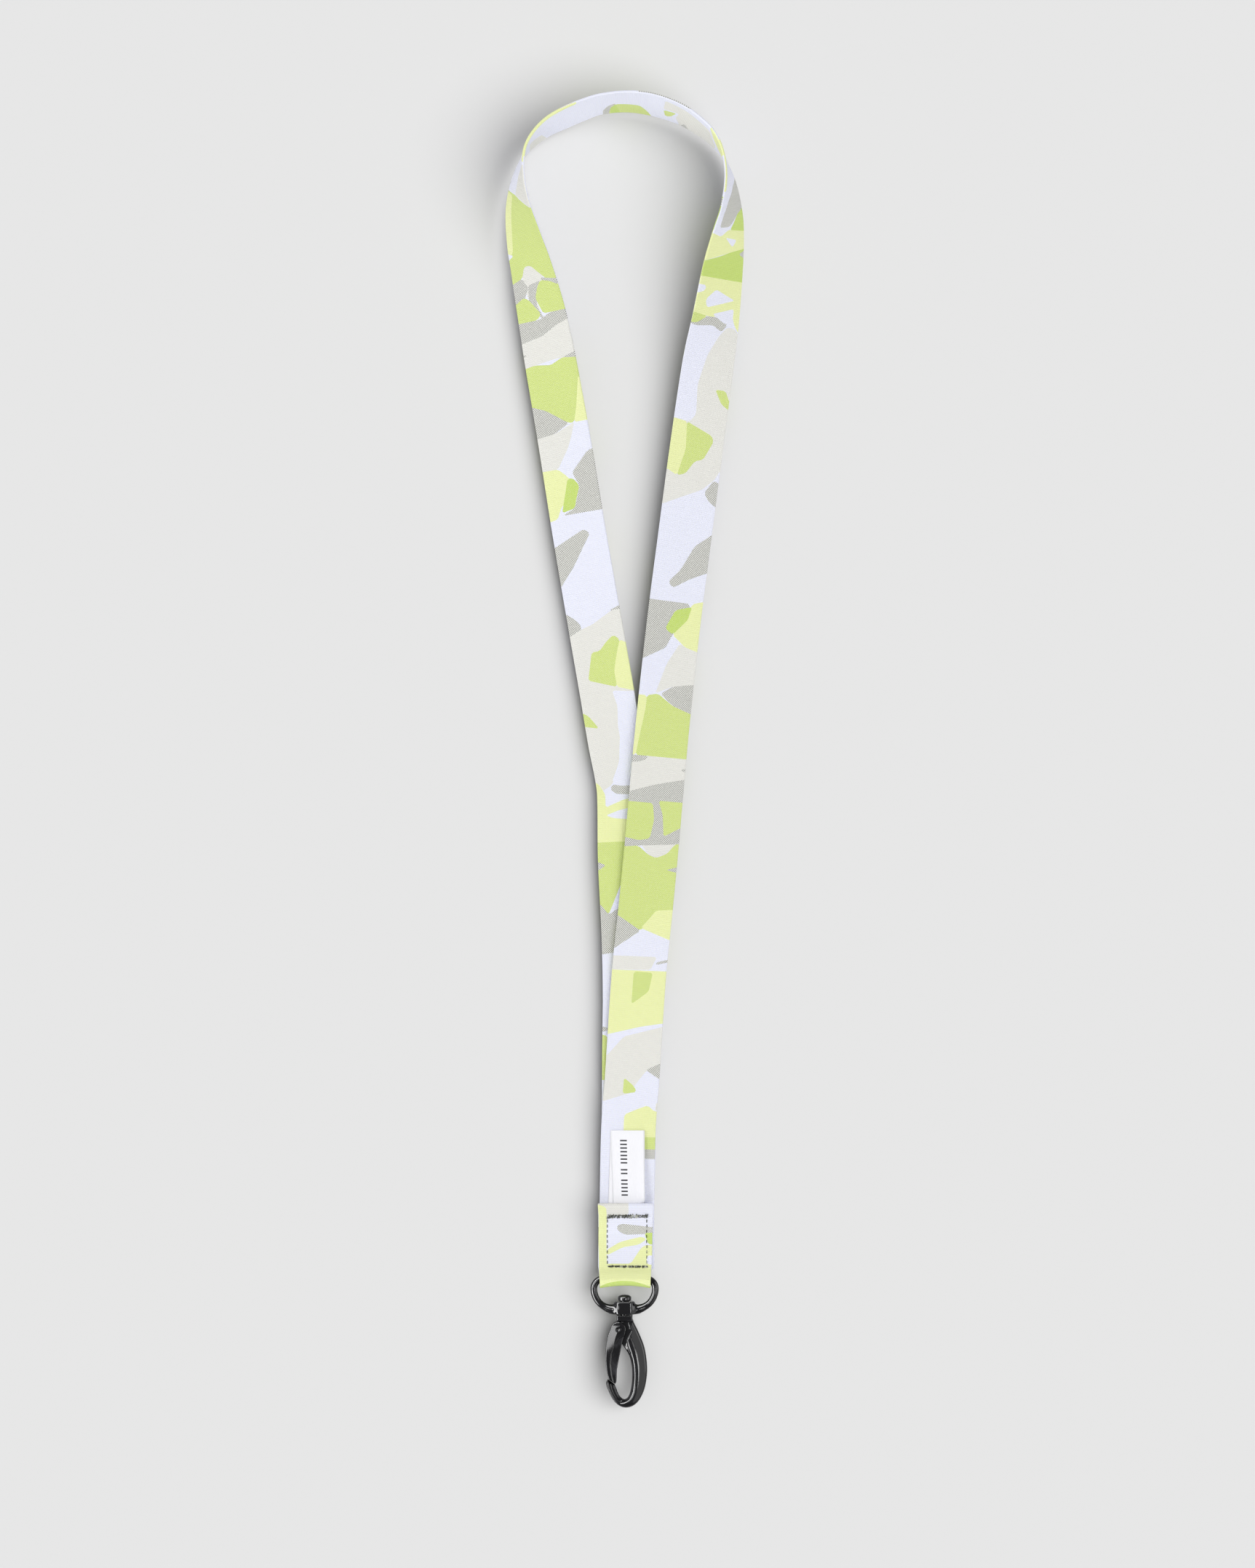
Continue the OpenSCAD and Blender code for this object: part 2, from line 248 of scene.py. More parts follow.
def satin_material():
    """White woven-edge satin ribbon, with its fine floats along the length."""
    n = Nodes("label_satin")
    flat = n.flat_space()
    floats = n.wave(n.split(flat)[0], SATIN_PITCH)
    streak = n.noise(n.add("ShaderNodeMapping", (0, flat), (3, (6, 0.4, 1))).outputs[0], 1.0)
    n.surface(n.mix(streak, linear(240, 240, 246), linear(252, 252, 255)),
              n.math("MULTIPLY_ADD", streak, 0.18, 0.38), n.math("MULTIPLY_ADD", streak, 0.5, floats), 0.00002)
    n.set(Sheen_Weight=0.2, Specular_IOR_Level=0.45)
    return n.material


def grained(name, scale, dark, light, roughness, height, metallic):
    """A plain material with a fine grain in its colour, gloss and surface."""
    n = Nodes(name)
    grain = n.noise(n.object_space(), scale)
    colour = n.mix(grain, linear(*dark), linear(*light))
    n.surface(colour, n.math("MULTIPLY_ADD", grain, 0.2, roughness), grain, height)
    n.set(Metallic=metallic)
    return n.material


def thread_material():
    """Dark polyester sewing thread with light specks painted in as highlights, and its twist."""
    n = Nodes("sewing_thread")
    space = n.object_space()
    # Light specks scattered over the dark thread: painted highlights
    painted_glints = n.ramp(n.noise(space, 900.0, 1.0), 0.56, 0.62)
    twist = n.wave(n.math("ADD", *n.split(space)), TWIST_PITCH)
    n.surface(n.mix(painted_glints, linear(62, 66, 52), linear(196, 198, 186)),
              n.math("MULTIPLY_ADD", twist, 0.08, 0.6), twist, 0.00004)
    n.set(Sheen_Weight=0.15)
    return n.material


def lacquer_material():
    """Gloss black lacquer over a die casting, a little worn and matt along its edges."""
    n = Nodes("black_lacquer")
    space = n.object_space()
    cloud = n.noise(space, 420.0, 3.0)
    worn = n.math("MULTIPLY", n.attribute("edge", "Fac"), n.ramp(n.noise(space, 260.0, 3.0), 0.45, 0.75))
    roughness = n.math("MULTIPLY_ADD", cloud, 0.02, n.math("MULTIPLY_ADD", worn, 0.1, 0.11))
    n.surface(n.mix(worn, linear(3, 3, 4), linear(24, 24, 26)), roughness, n.noise(space, 500.0), 0.000006)
    n.set(Specular_IOR_Level=0.22)
    return n.material


def floor_material():
    n = Nodes("pale_floor")
    n.set(Base_Color=linear(180, 180, 180), Roughness=1.0, Specular_IOR_Level=0.0)
    return n.material


WEBBING, SATIN, THREAD, LACQUER = webbing_material(), satin_material(), thread_material(), lacquer_material()
INK = grained("label_ink", 4000.0, (44, 44, 48), (72, 72, 76), 0.5, 0.00001, 0.0)
STEEL = grained("spring_steel", 2600.0, (150, 150, 154), (196, 196, 198), 0.22, 0.000008, 1.0)


# ---------- floor

# The gap, in metres, lets the part's soft shadow fall a little wider than the part
FLOOR_HALF, FLOOR_GAP = 20000, 0.0042
floor_corners = [(x * FLOOR_HALF, y * FLOOR_HALF, 0) for x, y in ((-1, -1), (1, -1), (1, 1), (-1, 1))]
floor = make_mesh("floor", floor_corners, [(0, 1, 2, 3)])
floor.location.z = cad_box[0].z - FLOOR_GAP
floor.data.materials.append(floor_material())
only_floor.objects.link(floor)


def keep_dark(obj):
    """Take an object out of the reach of the soft goods' lights."""
    soft_goods.objects.link(obj)
    soft_goods.collection_objects[-1].light_linking.link_state = "EXCLUDE"


def finished(obj, material, body, node):
    """Give a piece its material, hang it on the body it rides, and hide the imported part of the node it stands
    for.
    """
    obj.data.materials.append(material)
    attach(obj, body)
    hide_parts(node)


keep_dark(floor)


# ---------- route of the webbing

WEB_W, WEB_T, PLANE_Z, BAR_Y = 20, 1, 2.8, -192.5

# Rows are x, y, tilt in degrees and lift of the middle of the webbing, as in the CAD source
RIGHT_LEG = [
    (0.9, -189, 0, 1.12), (0.9, -165, 0, 1.12), (1.5, -136, 0.5, 1.12), (2.8, -118.5, 1.5, 1.05),
    (5.3, -80.5, 3, 0.9), (7.9, -55, 5, 0.5), (10, -33, 7, 0.2), (12.2, -8, 8, 0),
    (14.3, 14, 9.5, 0), (17.9, 47, 10, 0), (22, 79, 11, 0), (26.2, 111, 13, 0),
    (30.6, 142.5, 20, 0), (33.2, 158, 31, 0), (35.9, 177, 44, 0), (37.8, 189, 56, 0),
    (38.9, 198, 67, 0), (38.4, 209, 79, 0), (35.8, 218, 88, 0)]
NECK_ARC = [
    (31.5, 224.5, 95, 0), (27, 228.3, 98.5, 0), (20.5, 232.5, 101, 0), (10.5, 236, 103, 0),
    (1.5, 237.2, 102, 0), (-8.5, 236.3, 101, 0), (-15.5, 234, 102, 0), (-22, 231.2, 102, 0),
    (-28, 228, 99, 0), (-33.3, 223.3, 94, 0), (-36.8, 218, 87, 0)]
LEFT_LEG = [
    (-38.8, 209, 76, 0), (-38.8, 199, 64, 0), (-36.3, 186, 50, 0), (-34, 177, 42, 0),
    (-30.2, 160, 28, 0), (-27, 142.5, 20, 0), (-22, 114, 15, 0), (-16.5, 80, 11, 0),
    (-10.7, 46.5, 6.5, 0), (-6.5, 22.5, 3.5, 0), (-3.4, 4, 1.5, 0), (-1, -8, 0.5, 0),
    (-0.1, -15, 0, 0), (0.2, -38.5, 0, 0), (1.5, -66, 0, 0), (2, -88, 0, 0),
    (1.8, -108, 0, 0), (1.6, -136, 0, 0), (0.9, -165, 0, 0), (0.4, -180, 0, 0)]
# Rows are x, y, height and width of the webbing on the tab
TAB_FACE = [
    (0.2, -190.8, 4.4, 18.9), (0.2, -189.8, 3.6, 19.0), (0.2, -188.8, 3.2, 19.1), (0.3, -186, 3.1, 19.4),
    (0.3, -180, 3.1, 19.7), (0.3, -176.5, 3.3, 19.7), (0.4, -173.5, 4.1, 19.8), (0.5, -169, 4.36, 20)]
HEM_Y, HEM_END_Y, HEM_LOW_Z, HEM_HIGH_Z, HEM_W, HEM_STEPS = -165.8, -173.5, 3.2, 4.36, 20.4, 12
FOLD_W, FOLD_STEPS, TAB_X, ROUTE_PITCH = 18.6, 24, 0.4, 1.3
# The webbing is pulled into a slight arch where it passes round the bar: rise, drop at its edges, and reach
ARCH_RISE, ARCH_DROP, ARCH_REACH = 0.3, 0.9, 5


def smooth(rows, pitch):
    """Smooth curve through rows that lie at uneven distances in X and Y, as in the CAD source."""
    p = np.array(rows, float)
    gap = np.linalg.norm(np.diff(p[:, :2], axis=0), axis=1)
    slope = np.empty_like(p)
    slope[0], slope[-1] = (p[1] - p[0]) / gap[0], (p[-1] - p[-2]) / gap[-1]
    slope[1:-1] = (p[2:] - p[:-2]) / (gap[:-1] + gap[1:])[:, None]
    out = []
    for i, g in enumerate(gap):
        count = max(1, ceil(g / pitch))
        for u in np.arange(count) / count:
            out.append((2 * u**3 - 3 * u**2 + 1) * p[i] + (u**3 - 2 * u**2 + u) * g * slope[i]
                       + (3 * u**2 - 2 * u**3) * p[i + 1] + (u**3 - u**2) * g * slope[i + 1])
    return np.array(out + [p[-1]])


def chords(q):
    j = np.arange(len(q))
    return unit(q[np.minimum(j + 1, len(q) - 1)] - q[np.maximum(j - 1, 0)])


def half_turn(x, y, z, r, start, end, w, count):
    """Rows of x, y, z and width round a half circle."""
    angles = np.radians(np.linspace(start, end, count + 1))
    return [(x, y + r * cos(a), z + r * sin(a), w) for a in angles]


def strap_frames():
    """Centre, across and width of the webbing, from its cut end round the neck and back into the hem."""
    legs = smooth(RIGHT_LEG + NECK_ARC + LEFT_LEG, ROUTE_PITCH)
    tilt = np.radians(legs[:, 2])
    height = WEB_W / 2 * np.sin(tilt) + WEB_T / 2 * np.abs(np.cos(tilt)) + legs[:, 3]
    centre = np.column_stack([legs[:, :2], height])
    along = chords(centre)
    up = np.array([0, 0, 1])
    raw = unit(np.cross(up, along)) * np.cos(tilt)[:, None] + up * np.sin(tilt)[:, None]
    across = unit(raw - (raw * along).sum(1)[:, None] * along)
    fold = [(0.3, -184, 0.5, 20), (0.2, -188, 0.5, 19.8)]
    fold += half_turn(TAB_X / 2, BAR_Y, PLANE_Z, PLANE_Z - WEB_T / 2, -90, -270, FOLD_W, FOLD_STEPS)
    fold += TAB_FACE[:1] + [tuple(r) for r in tab_rows()]
    hem_mid, hem_r = (HEM_LOW_Z + HEM_HIGH_Z) / 2, (HEM_HIGH_Z - HEM_LOW_Z) / 2
    fold += half_turn(TAB_X, HEM_Y, hem_mid, hem_r, 90, -90, HEM_W, HEM_STEPS)
    fold += [(TAB_X, (HEM_Y + HEM_END_Y) / 2, HEM_LOW_Z, WEB_W), (TAB_X, HEM_END_Y, HEM_LOW_Z, WEB_W)]
    fold = np.array(fold)
    centre = np.vstack([centre, fold[:, :3]])
    across = np.vstack([across, np.tile([1.0, 0, 0], (len(fold), 1))])
    width = np.concatenate([np.full(len(legs), float(WEB_W)), fold[:, 3]])
    return centre, across, width


def tab_rows():
    """The tab's face between its rows, at steps of about a millimetre."""
    rows = np.array(TAB_FACE)
    dense = []
    for a, b in zip(rows[:-1], rows[1:]):
        count = max(1, ceil(np.linalg.norm(b[1:3] - a[1:3])))
        dense += [a + (b - a) * k / count for k in range(1, count + 1)]
    dense = np.array(dense)
    soft = dense.copy()
    soft[1:-1, 2] = dense[1:-1, 2] / 2 + (dense[:-2, 2] + dense[2:, 2]) / 4
    return soft


CENTRE, ACROSS, WIDTH = strap_frames()
ALONG = chords(CENTRE)
UP = unit(np.cross(ALONG, ACROSS))
STATION = np.round(np.concatenate([[0], np.cumsum(np.linalg.norm(np.diff(CENTRE, axis=0), axis=1))]), 2)
LENGTH = STATION[-1]
FOLD_STATION = STATION[np.argmin(CENTRE[:, 1])]


def at(s, table):
    """Rows of a table of vectors along the webbing, at the distances s."""
    return np.column_stack([np.interp(s, STATION, table[:, k]) for k in range(3)])


def on_strap(s, t, h):
    """Points of the webbing: s along it, t across it on a 20 mm width, and h above its middle layer."""
    wide = np.interp(s, STATION, WIDTH) / WEB_W
    points = at(s, CENTRE) + unit(at(s, ACROSS)) * (t * wide)[:, None] + unit(at(s, UP)) * h[:, None]
    arch = ARCH_RISE - ARCH_DROP * (t / (WEB_W / 2)) ** 2
    points[:, 1] += arch * np.exp(-((s - FOLD_STATION) / ARCH_REACH) ** 2)
    return points


# ---------- print on the webbing

# Display colour, and how strongly the crosshatch is woven into it
INKS = {
    "white": ((236, 238, 254), 0), "lime": ((219, 235, 141), 0.22), "pale": ((240, 246, 178), 0.04),
    "green": ((206, 230, 118), 0.2), "beige": ((235, 234, 229), 0.07), "grey": ((240, 240, 236), 1.0),
}

# Facets of plain colour on the outer face: ink, then along and across in millimetres of each corner in turn.
# Along runs from the cut end up the right leg, round the neck and down the left leg to the tab. A facet that
# meets an edge of the webbing runs out past it, to 12. Later facets lie over earlier ones.
OUTER_PRINT = [
    # right leg, from the tab up
    ("pale", 44, -12, 58.5, -12, 58.3, -9.2, 60.5, -6.5, 58.6, -2.4, 56.5, 1.8, 50, 1.8, 50, -6, 44, -6),
    ("lime", 44, -12, 48.5, -12, 48.5, -5, 44, -5),
    ("grey", 40.5, -12, 44, -12, 44, -5, 40.5, -5),
    ("beige", 58.5, -12, 64, -12, 62, -9.5, 58.3, -9.3),
    ("beige", 60, 12, 61.5, 8, 63.5, 3, 64.5, 0, 68, -1.5, 73, -5, 77, -12, 90, -12, 85, 4, 75, 12),
    ("lime", 64, 3, 65, -2, 67, -1, 70, 3),
    ("grey", 69, -12, 77, -12, 73.3, -4.7),
    ("pale", 85, 12, 89, -2, 91, -12, 110, -12, 109, 12),
    ("lime", 97, 2, 102, -4, 109, -5, 109, 2),
    ("beige", 109, 12, 114, 12, 115, -6, 110, -4),
    ("grey", 112, -6, 114, -12, 115, -12, 113, -6),
    ("lime", 130, 12, 154, 12, 155, 5, 152, 1, 151, -2, 157, -7, 157, -12, 133, -12, 132, -4, 124, 1),
    ("pale", 121, -12, 133, -12, 132, -4, 125, 1),
    ("grey", 115, 12, 130, 12, 124, 1),
    ("grey", 146, -12, 149, -12, 147, -6),
    ("beige", 152, 1, 157, 5, 159, -12, 156, -8, 153, -6, 151, -2),
    ("grey", 154, 12, 172, 12, 172, -12, 157, -12, 155, 5),
    ("lime", 158, 12, 171, 12, 171, 1, 165, 0, 158, 1, 157, 5),
    ("lime", 164, -12, 172, -12, 172, -1, 167, -3, 159, -4),
    ("beige", 174, 12, 185, 12, 188, 4, 189, -1, 188, -5, 188, -12, 181, -12, 178, 0),
    ("grey", 172, 12, 174, 12, 178, 0, 181, -12, 172, -12),
    ("grey", 182, -12, 185, -12, 184, -8),
    ("grey", 185, 12, 188, 12, 188, 4, 186, 6),
    ("lime", 188, 9, 188, -12, 204, -12, 207, -3, 211, 3, 210, 7, 205, 7, 197, 8),
    ("pale", 188, 12, 210, 12, 210, 7, 205, 7, 197, 8, 188, 9),
    ("grey", 204, -12, 216, -12, 214, -2, 211, 2, 207, -3),
    ("beige", 216, -12, 227, -12, 230, -3, 222, 1, 211, 4, 214, -2),
    ("grey", 222, 12, 245, 12, 245, -5, 239, -5, 233, 0, 228, 2),
    ("pale", 227, -12, 247, -12, 245, -6, 239, -4, 233, 0, 229, -5),
    ("green", 233, 0, 235, 3, 242, 0, 244, -6, 239, -5),
    ("grey", 254, -4, 258, -12, 273, -12, 266, -4, 257, 0, 252, 4, 250, 2),
    ("grey", 280, -12, 289, -12, 291, -8, 286, -5, 283, -7),
    ("beige", 279, 12, 312, 12, 311, 4, 314, 2, 325, 3, 336, 1, 343, -2, 347, -5, 347, -8, 343, -12, 299, -12,
     291, -8, 287, -4, 283, 4),
    ("lime", 311, 5, 307, -5, 305, -6, 298, -3, 297, 0, 292, 3, 291, 6, 301, 4),
    ("pale", 294, 12, 312, 12, 311, 5, 301, 4, 291, 6),
    ("lime", 316, -12, 324, -8, 324, -4, 319, -7),
    ("grey", 347, 12, 348, 8, 350, 4, 350, -3, 348, -5, 345, -3, 347, 1, 346, 8),
    ("pale", 351, 12, 364, 12, 364, -12, 343, -12, 348, -8, 353, -6, 350, 1, 350, 5),
    ("lime", 347, 12, 351, 12, 350, 4, 347, 8),
    ("white", 357, 12, 361, 12, 361, 7, 359, 7),
    ("white", 360, 2, 357, -7, 353, 5, 356, 6),
    ("white", 351, 2, 354, -7, 349, -7, 348, -4),
    ("green", 364, 12, 369, 12, 372, 3, 374, -2, 377, -12, 364, -12),
    ("grey", 372, -12, 377, -12, 374, -7),
    ("pale", 369, 12, 380, 12, 379, 5, 382, 1, 383, -12, 377, -12, 374, -2),
    ("white", 379, 2, 379, -5, 376, -3),
    ("green", 383, -12, 392, -12, 388, -4, 382, 0),
    ("grey", 383, 1, 382, 7, 387, 7, 392, 5, 398, -1, 403, -12, 392, -12, 388, -4),
    ("pale", 395, 12, 414, 12, 414, 9, 395, 9),
    # behind the neck
    ("grey", 428, 12, 449, 12, 443, -2, 434, -5),
    ("lime", 436, -12, 465, -12, 462, 3, 452, 8, 440, 0),
    ("pale", 465, -12, 474, -12, 470, 6, 462, 3),
    ("beige", 472, 12, 490, 12, 487, -6, 478, -12, 474, -12, 470, 6),
    ("pale", 476, 12, 500, 12, 500, 9, 476, 9),
    # left leg, from the neck down
    ("beige", 500, 12, 518, 12, 513, 4, 511, -1, 504, 3),
    ("lime", 508, -12, 511, -1, 514, 5, 518, 12, 546, 12, 546, 8, 542, 5, 539, 2, 537, 0, 537, -3, 541, -5,
     543, -12),
    ("pale", 508, -12, 511, -4, 517, -5, 531, -7, 533, -12),
    ("white", 530, -12, 532, -7, 534, -12),
    ("beige", 537, -3, 537, 0, 539, 2, 542, 5, 545, 2, 548, -1, 554, 0, 552, -2, 549, -4, 541, -5),
    ("grey", 543, -12, 541, -5, 545, -3, 549, -6, 552, -12),
    ("grey", 542, 3, 544, 12, 547, 12, 545, 5),
    ("grey", 544, -3, 543, 3, 547, 0, 552, -1, 557, 1, 556, -1, 550, -4),
    ("lime", 551, -12, 548, -6, 549, -4, 555, 0, 557, -2, 557, -12),
    ("lime", 545, 1, 543, 3, 544, 7, 547, 12, 555, 12, 555, 1, 549, -1),
    ("grey", 557, -12, 557, -1, 555, 4, 555, 12, 558, 12, 560, 5, 563, -1, 565, -12),
    ("beige", 565, -12, 563, -1, 560, 5, 558, 12, 573, 12, 572, 3, 573, -6, 574, -12),
    ("grey", 568, -12, 569, -8, 570, -12),
    ("grey", 572, 5, 570, 12, 573, 12),
    ("lime", 574, -12, 573, -6, 574, 0, 572, 5, 573, 12, 582, 9, 590, 7, 596, 5, 596, 3, 590, -5, 587, -12),
    ("pale", 573, 12, 596, 12, 596, 5, 590, 7, 582, 9),
    ("grey", 587, -12, 590, -5, 593, -1, 596, 3, 599, -3, 600, -12),
    ("beige", 600, -12, 599, -3, 596, 5, 601, 3, 605, 1, 612, -4, 612, -12),
    ("grey", 606, 12, 629, 12, 629, -5, 627, 0, 619, 3, 614, 1, 609, 6, 607, 8),
    ("pale", 612, -12, 612, -4, 615, -1, 620, 2, 626, -5, 630, -7, 631, -12),
    ("green", 616, -1, 616, 1, 619, 3, 624, 1, 627, 0, 628, -5, 622, -3),
    ("grey", 641, -12, 638, -5, 635, 2, 637, 4, 641, 1, 648, -4, 657, -12),
    ("grey", 663, -12, 667, -7, 670, -5, 673, -6, 674, -12),
    ("grey", 666, 6, 664, 12, 667, 12),
    ("beige", 674, -12, 671, -5, 670, -1, 666, 7, 666, 12, 697, 12, 695, 2, 701, 3, 708, 2, 716, 2, 721, 0,
     729, -4, 732, -9, 726, -12),
    ("lime", 675, 6, 677, 8, 688, 4, 694, 4, 690, -6, 680, -3, 680, 0, 677, 3),
    ("pale", 677, 8, 680, 12, 697, 12, 694, 4, 688, 4, 682, 6),
    ("white", 695, 2, 697, 12, 730, 12, 731, 3, 730, -1, 728, -4, 721, 0, 708, 3, 700, 3),
    ("lime", 700, -12, 703, -8, 708, -5, 706, -12),
    ("grey", 729, -4, 730, -1, 731, 12, 734, 12, 733, -3, 731, -5),
    ("pale", 726, -12, 728, -9, 733, -7, 738, -7, 735, 0, 734, 12, 736, 12, 739, -2, 741, -7, 742, -4,
     743, 12, 757, 12, 757, -12),
    ("lime", 751, -12, 750, 12, 757, 12, 764, -1, 777, -7, 771, -12),
    ("grey", 757, -12, 759, -7, 762, -12),
    ("grey", 770, -12, 777, -7, 774, -2, 776, 12, 791, -5, 792, -12),
    ("grey", 818, -12, 819, -8, 820, -8, 821, -12),
    ("lime", 821, -12, 822, -8, 838, -8, 838, -12),
    ("pale", 868, -12, 868, -8, 880, -9, 892, -12),
]
# Facets on the inner face, which shows at the back of the neck and on the tab
INNER_PRINT = [
    ("pale", 408, 12, 420, 12, 416, 3, 410, -6),
    ("beige", 414, -5, 419, 6, 428, 7, 438, 8, 438, 0, 432, 1, 433, -4, 430, -12, 415, -12),
    ("white", 419, 12, 420, 7, 428, 8, 440, 12),
    ("lime", 438, -1, 433, 0, 435, -5, 437, -6),
    ("grey", 431, -12, 429, -6, 427, -9, 427, -12),
    ("grey", 461, -12, 461, -6, 459, -2, 456, 0, 457, -12),
    ("lime", 459, -12, 458, -4, 456, -1, 447, -2, 444, -6, 441, -12),
    ("green", 458, -12, 458, -4, 456, -1, 454, -12),
    ("pale", 470, 12, 470, 9, 498, 9, 498, 12),
    ("beige", 492, 2, 486, -2, 484, -12, 493, -12),
    # tab, from the bar up to its hem
    ("beige", 948, -12, 948, 1, 942, 1, 942, -3, 941, -12),
    ("grey", 937.6, -3.6, 938.9, -1.7, 937.4, 12, 935.2, 12, 934.7, 0, 935.8, -2.1),
    ("green", 935.5, 12, 935.5, 7, 931, 8.5, 931, 12),
    ("pale", 929, -7, 932, -2, 934, 6, 933, 8, 931, 5, 930, -1, 927, -7),
    ("pale", 924, -12, 924, 2, 930, 6, 931, 8, 930, 12, 909, 12, 909, -12),
    ("white", 927, 8, 927, 12, 923, 12, 924, 8),
    ("pale", 946, -12, 945, -7, 912, -7, 912, -12),
    ("green", 909, -12, 909, 12, 915.2, 12, 916.4, 8, 917.3, 3, 917.4, -2, 916.9, -7, 915.4, -12),
]


def facets(rows):
    """Each row as its ink and a list of its corners."""
    return [(ink, list(zip(row[::2], row[1::2]))) for ink, *row in rows]


def moved(rows, first, last, shift):
    """Facets that lie between first and last, mirrored and moved along, for the webbing's other face."""
    return [(ink, [(s + shift, -t) for s, t in corners]) for ink, corners in facets(rows)
            if all(first <= s <= last for s, t in corners)]


outer_facets = facets(OUTER_PRINT)
inner_facets = moved(OUTER_PRINT, 40, 380, 17) + moved(OUTER_PRINT, 520, 860, 23) + facets(INNER_PRINT)


# ---------- the webbing itself

EDGE_R, EDGE_STEPS, ROWS_ACROSS = 0.35, 6, 17
FACE_HALF = WEB_W / 2 - EDGE_R
INK_CORNER = 0.7


def sides_of(points):
    return zip(points, points[1:] + points[:1])


def clipped(points):
    """A facet cut off at the two edges of the flat face."""
    for side in (1, -1):
        out = []
        for (s0, t0), (s1, t1) in sides_of(points):
            in0, in1 = side * t0 <= FACE_HALF, side * t1 <= FACE_HALF
            if in0:
                out.append((s0, t0))
            if in0 != in1:
                u = (side * FACE_HALF - t0) / (t1 - t0)
                out.append((round(s0 + u * (s1 - s0), 2), side * FACE_HALF))
        points = out
    doubled = sum(s0 * t1 - s1 * t0 for (s0, t0), (s1, t1) in sides_of(points))
    return points if doubled > 0 else points[::-1]


def softened(points):
    """Corners of a facet are cut a little, as ink has no sharp points. Corners outside the webbing stay."""
    out = []
    for i, (s, t) in enumerate(points):
        if abs(t) > FACE_HALF:
            out.append((s, t))
            continue
        for s1, t1 in (points[i - 1], points[(i + 1) % len(points)]):
            gap = max(0.001, ((s1 - s) ** 2 + (t1 - t) ** 2) ** 0.5)
            cut = min(INK_CORNER, gap * 0.3) / gap
            out.append((s + cut * (s1 - s), t + cut * (t1 - t)))
    return out


def stepped(points):
    """A facet's outline with a point wherever it passes one of the webbing's own steps."""
    out = []
    for (s0, t0), (s1, t1) in sides_of(points):
        out.append((s0, t0))
        low, high = sorted((s0, s1))
        between = STATION[(STATION > low + 0.02) & (STATION < high - 0.02)]
        for s in between if s0 < s1 else between[::-1]:
            out.append((float(s), t0 + (t1 - t0) * (s - s0) / (s1 - s0)))
    return out


def printed_face(printed, edge_stations):
    """Triangles of one face in flat coordinates, each with the ink of the topmost facet that it lies in."""
    inner_rows = np.linspace(-FACE_HALF, FACE_HALF, ROWS_ACROSS)[1:-1]
    points = [(s, side) for side in (-FACE_HALF, FACE_HALF) for s in edge_stations]
    count = len(edge_stations)
    edges = [(k + row * count, k + 1 + row * count) for row in (0, 1) for k in range(count - 1)]
    points += [(s, t) for s in (*STATION[1:-1], 0.0, LENGTH) for t in inner_rows]
    faces = []
    for ink, outline in printed:
        faces.append(list(range(len(points), len(points) + len(outline))))
        points += outline
    found = delaunay_2d_cdt(points, edges, faces, 0, 1e-4, True)
    flat, triangles, from_verts, from_faces = found[0], found[2], found[3], found[5]
    exact = np.array([points[o[0]] if o else (v[0], v[1]) for v, o in zip(flat, from_verts)], float)
    return exact, triangles, [printed[max(o)][0] if o else "white" for o in from_faces]


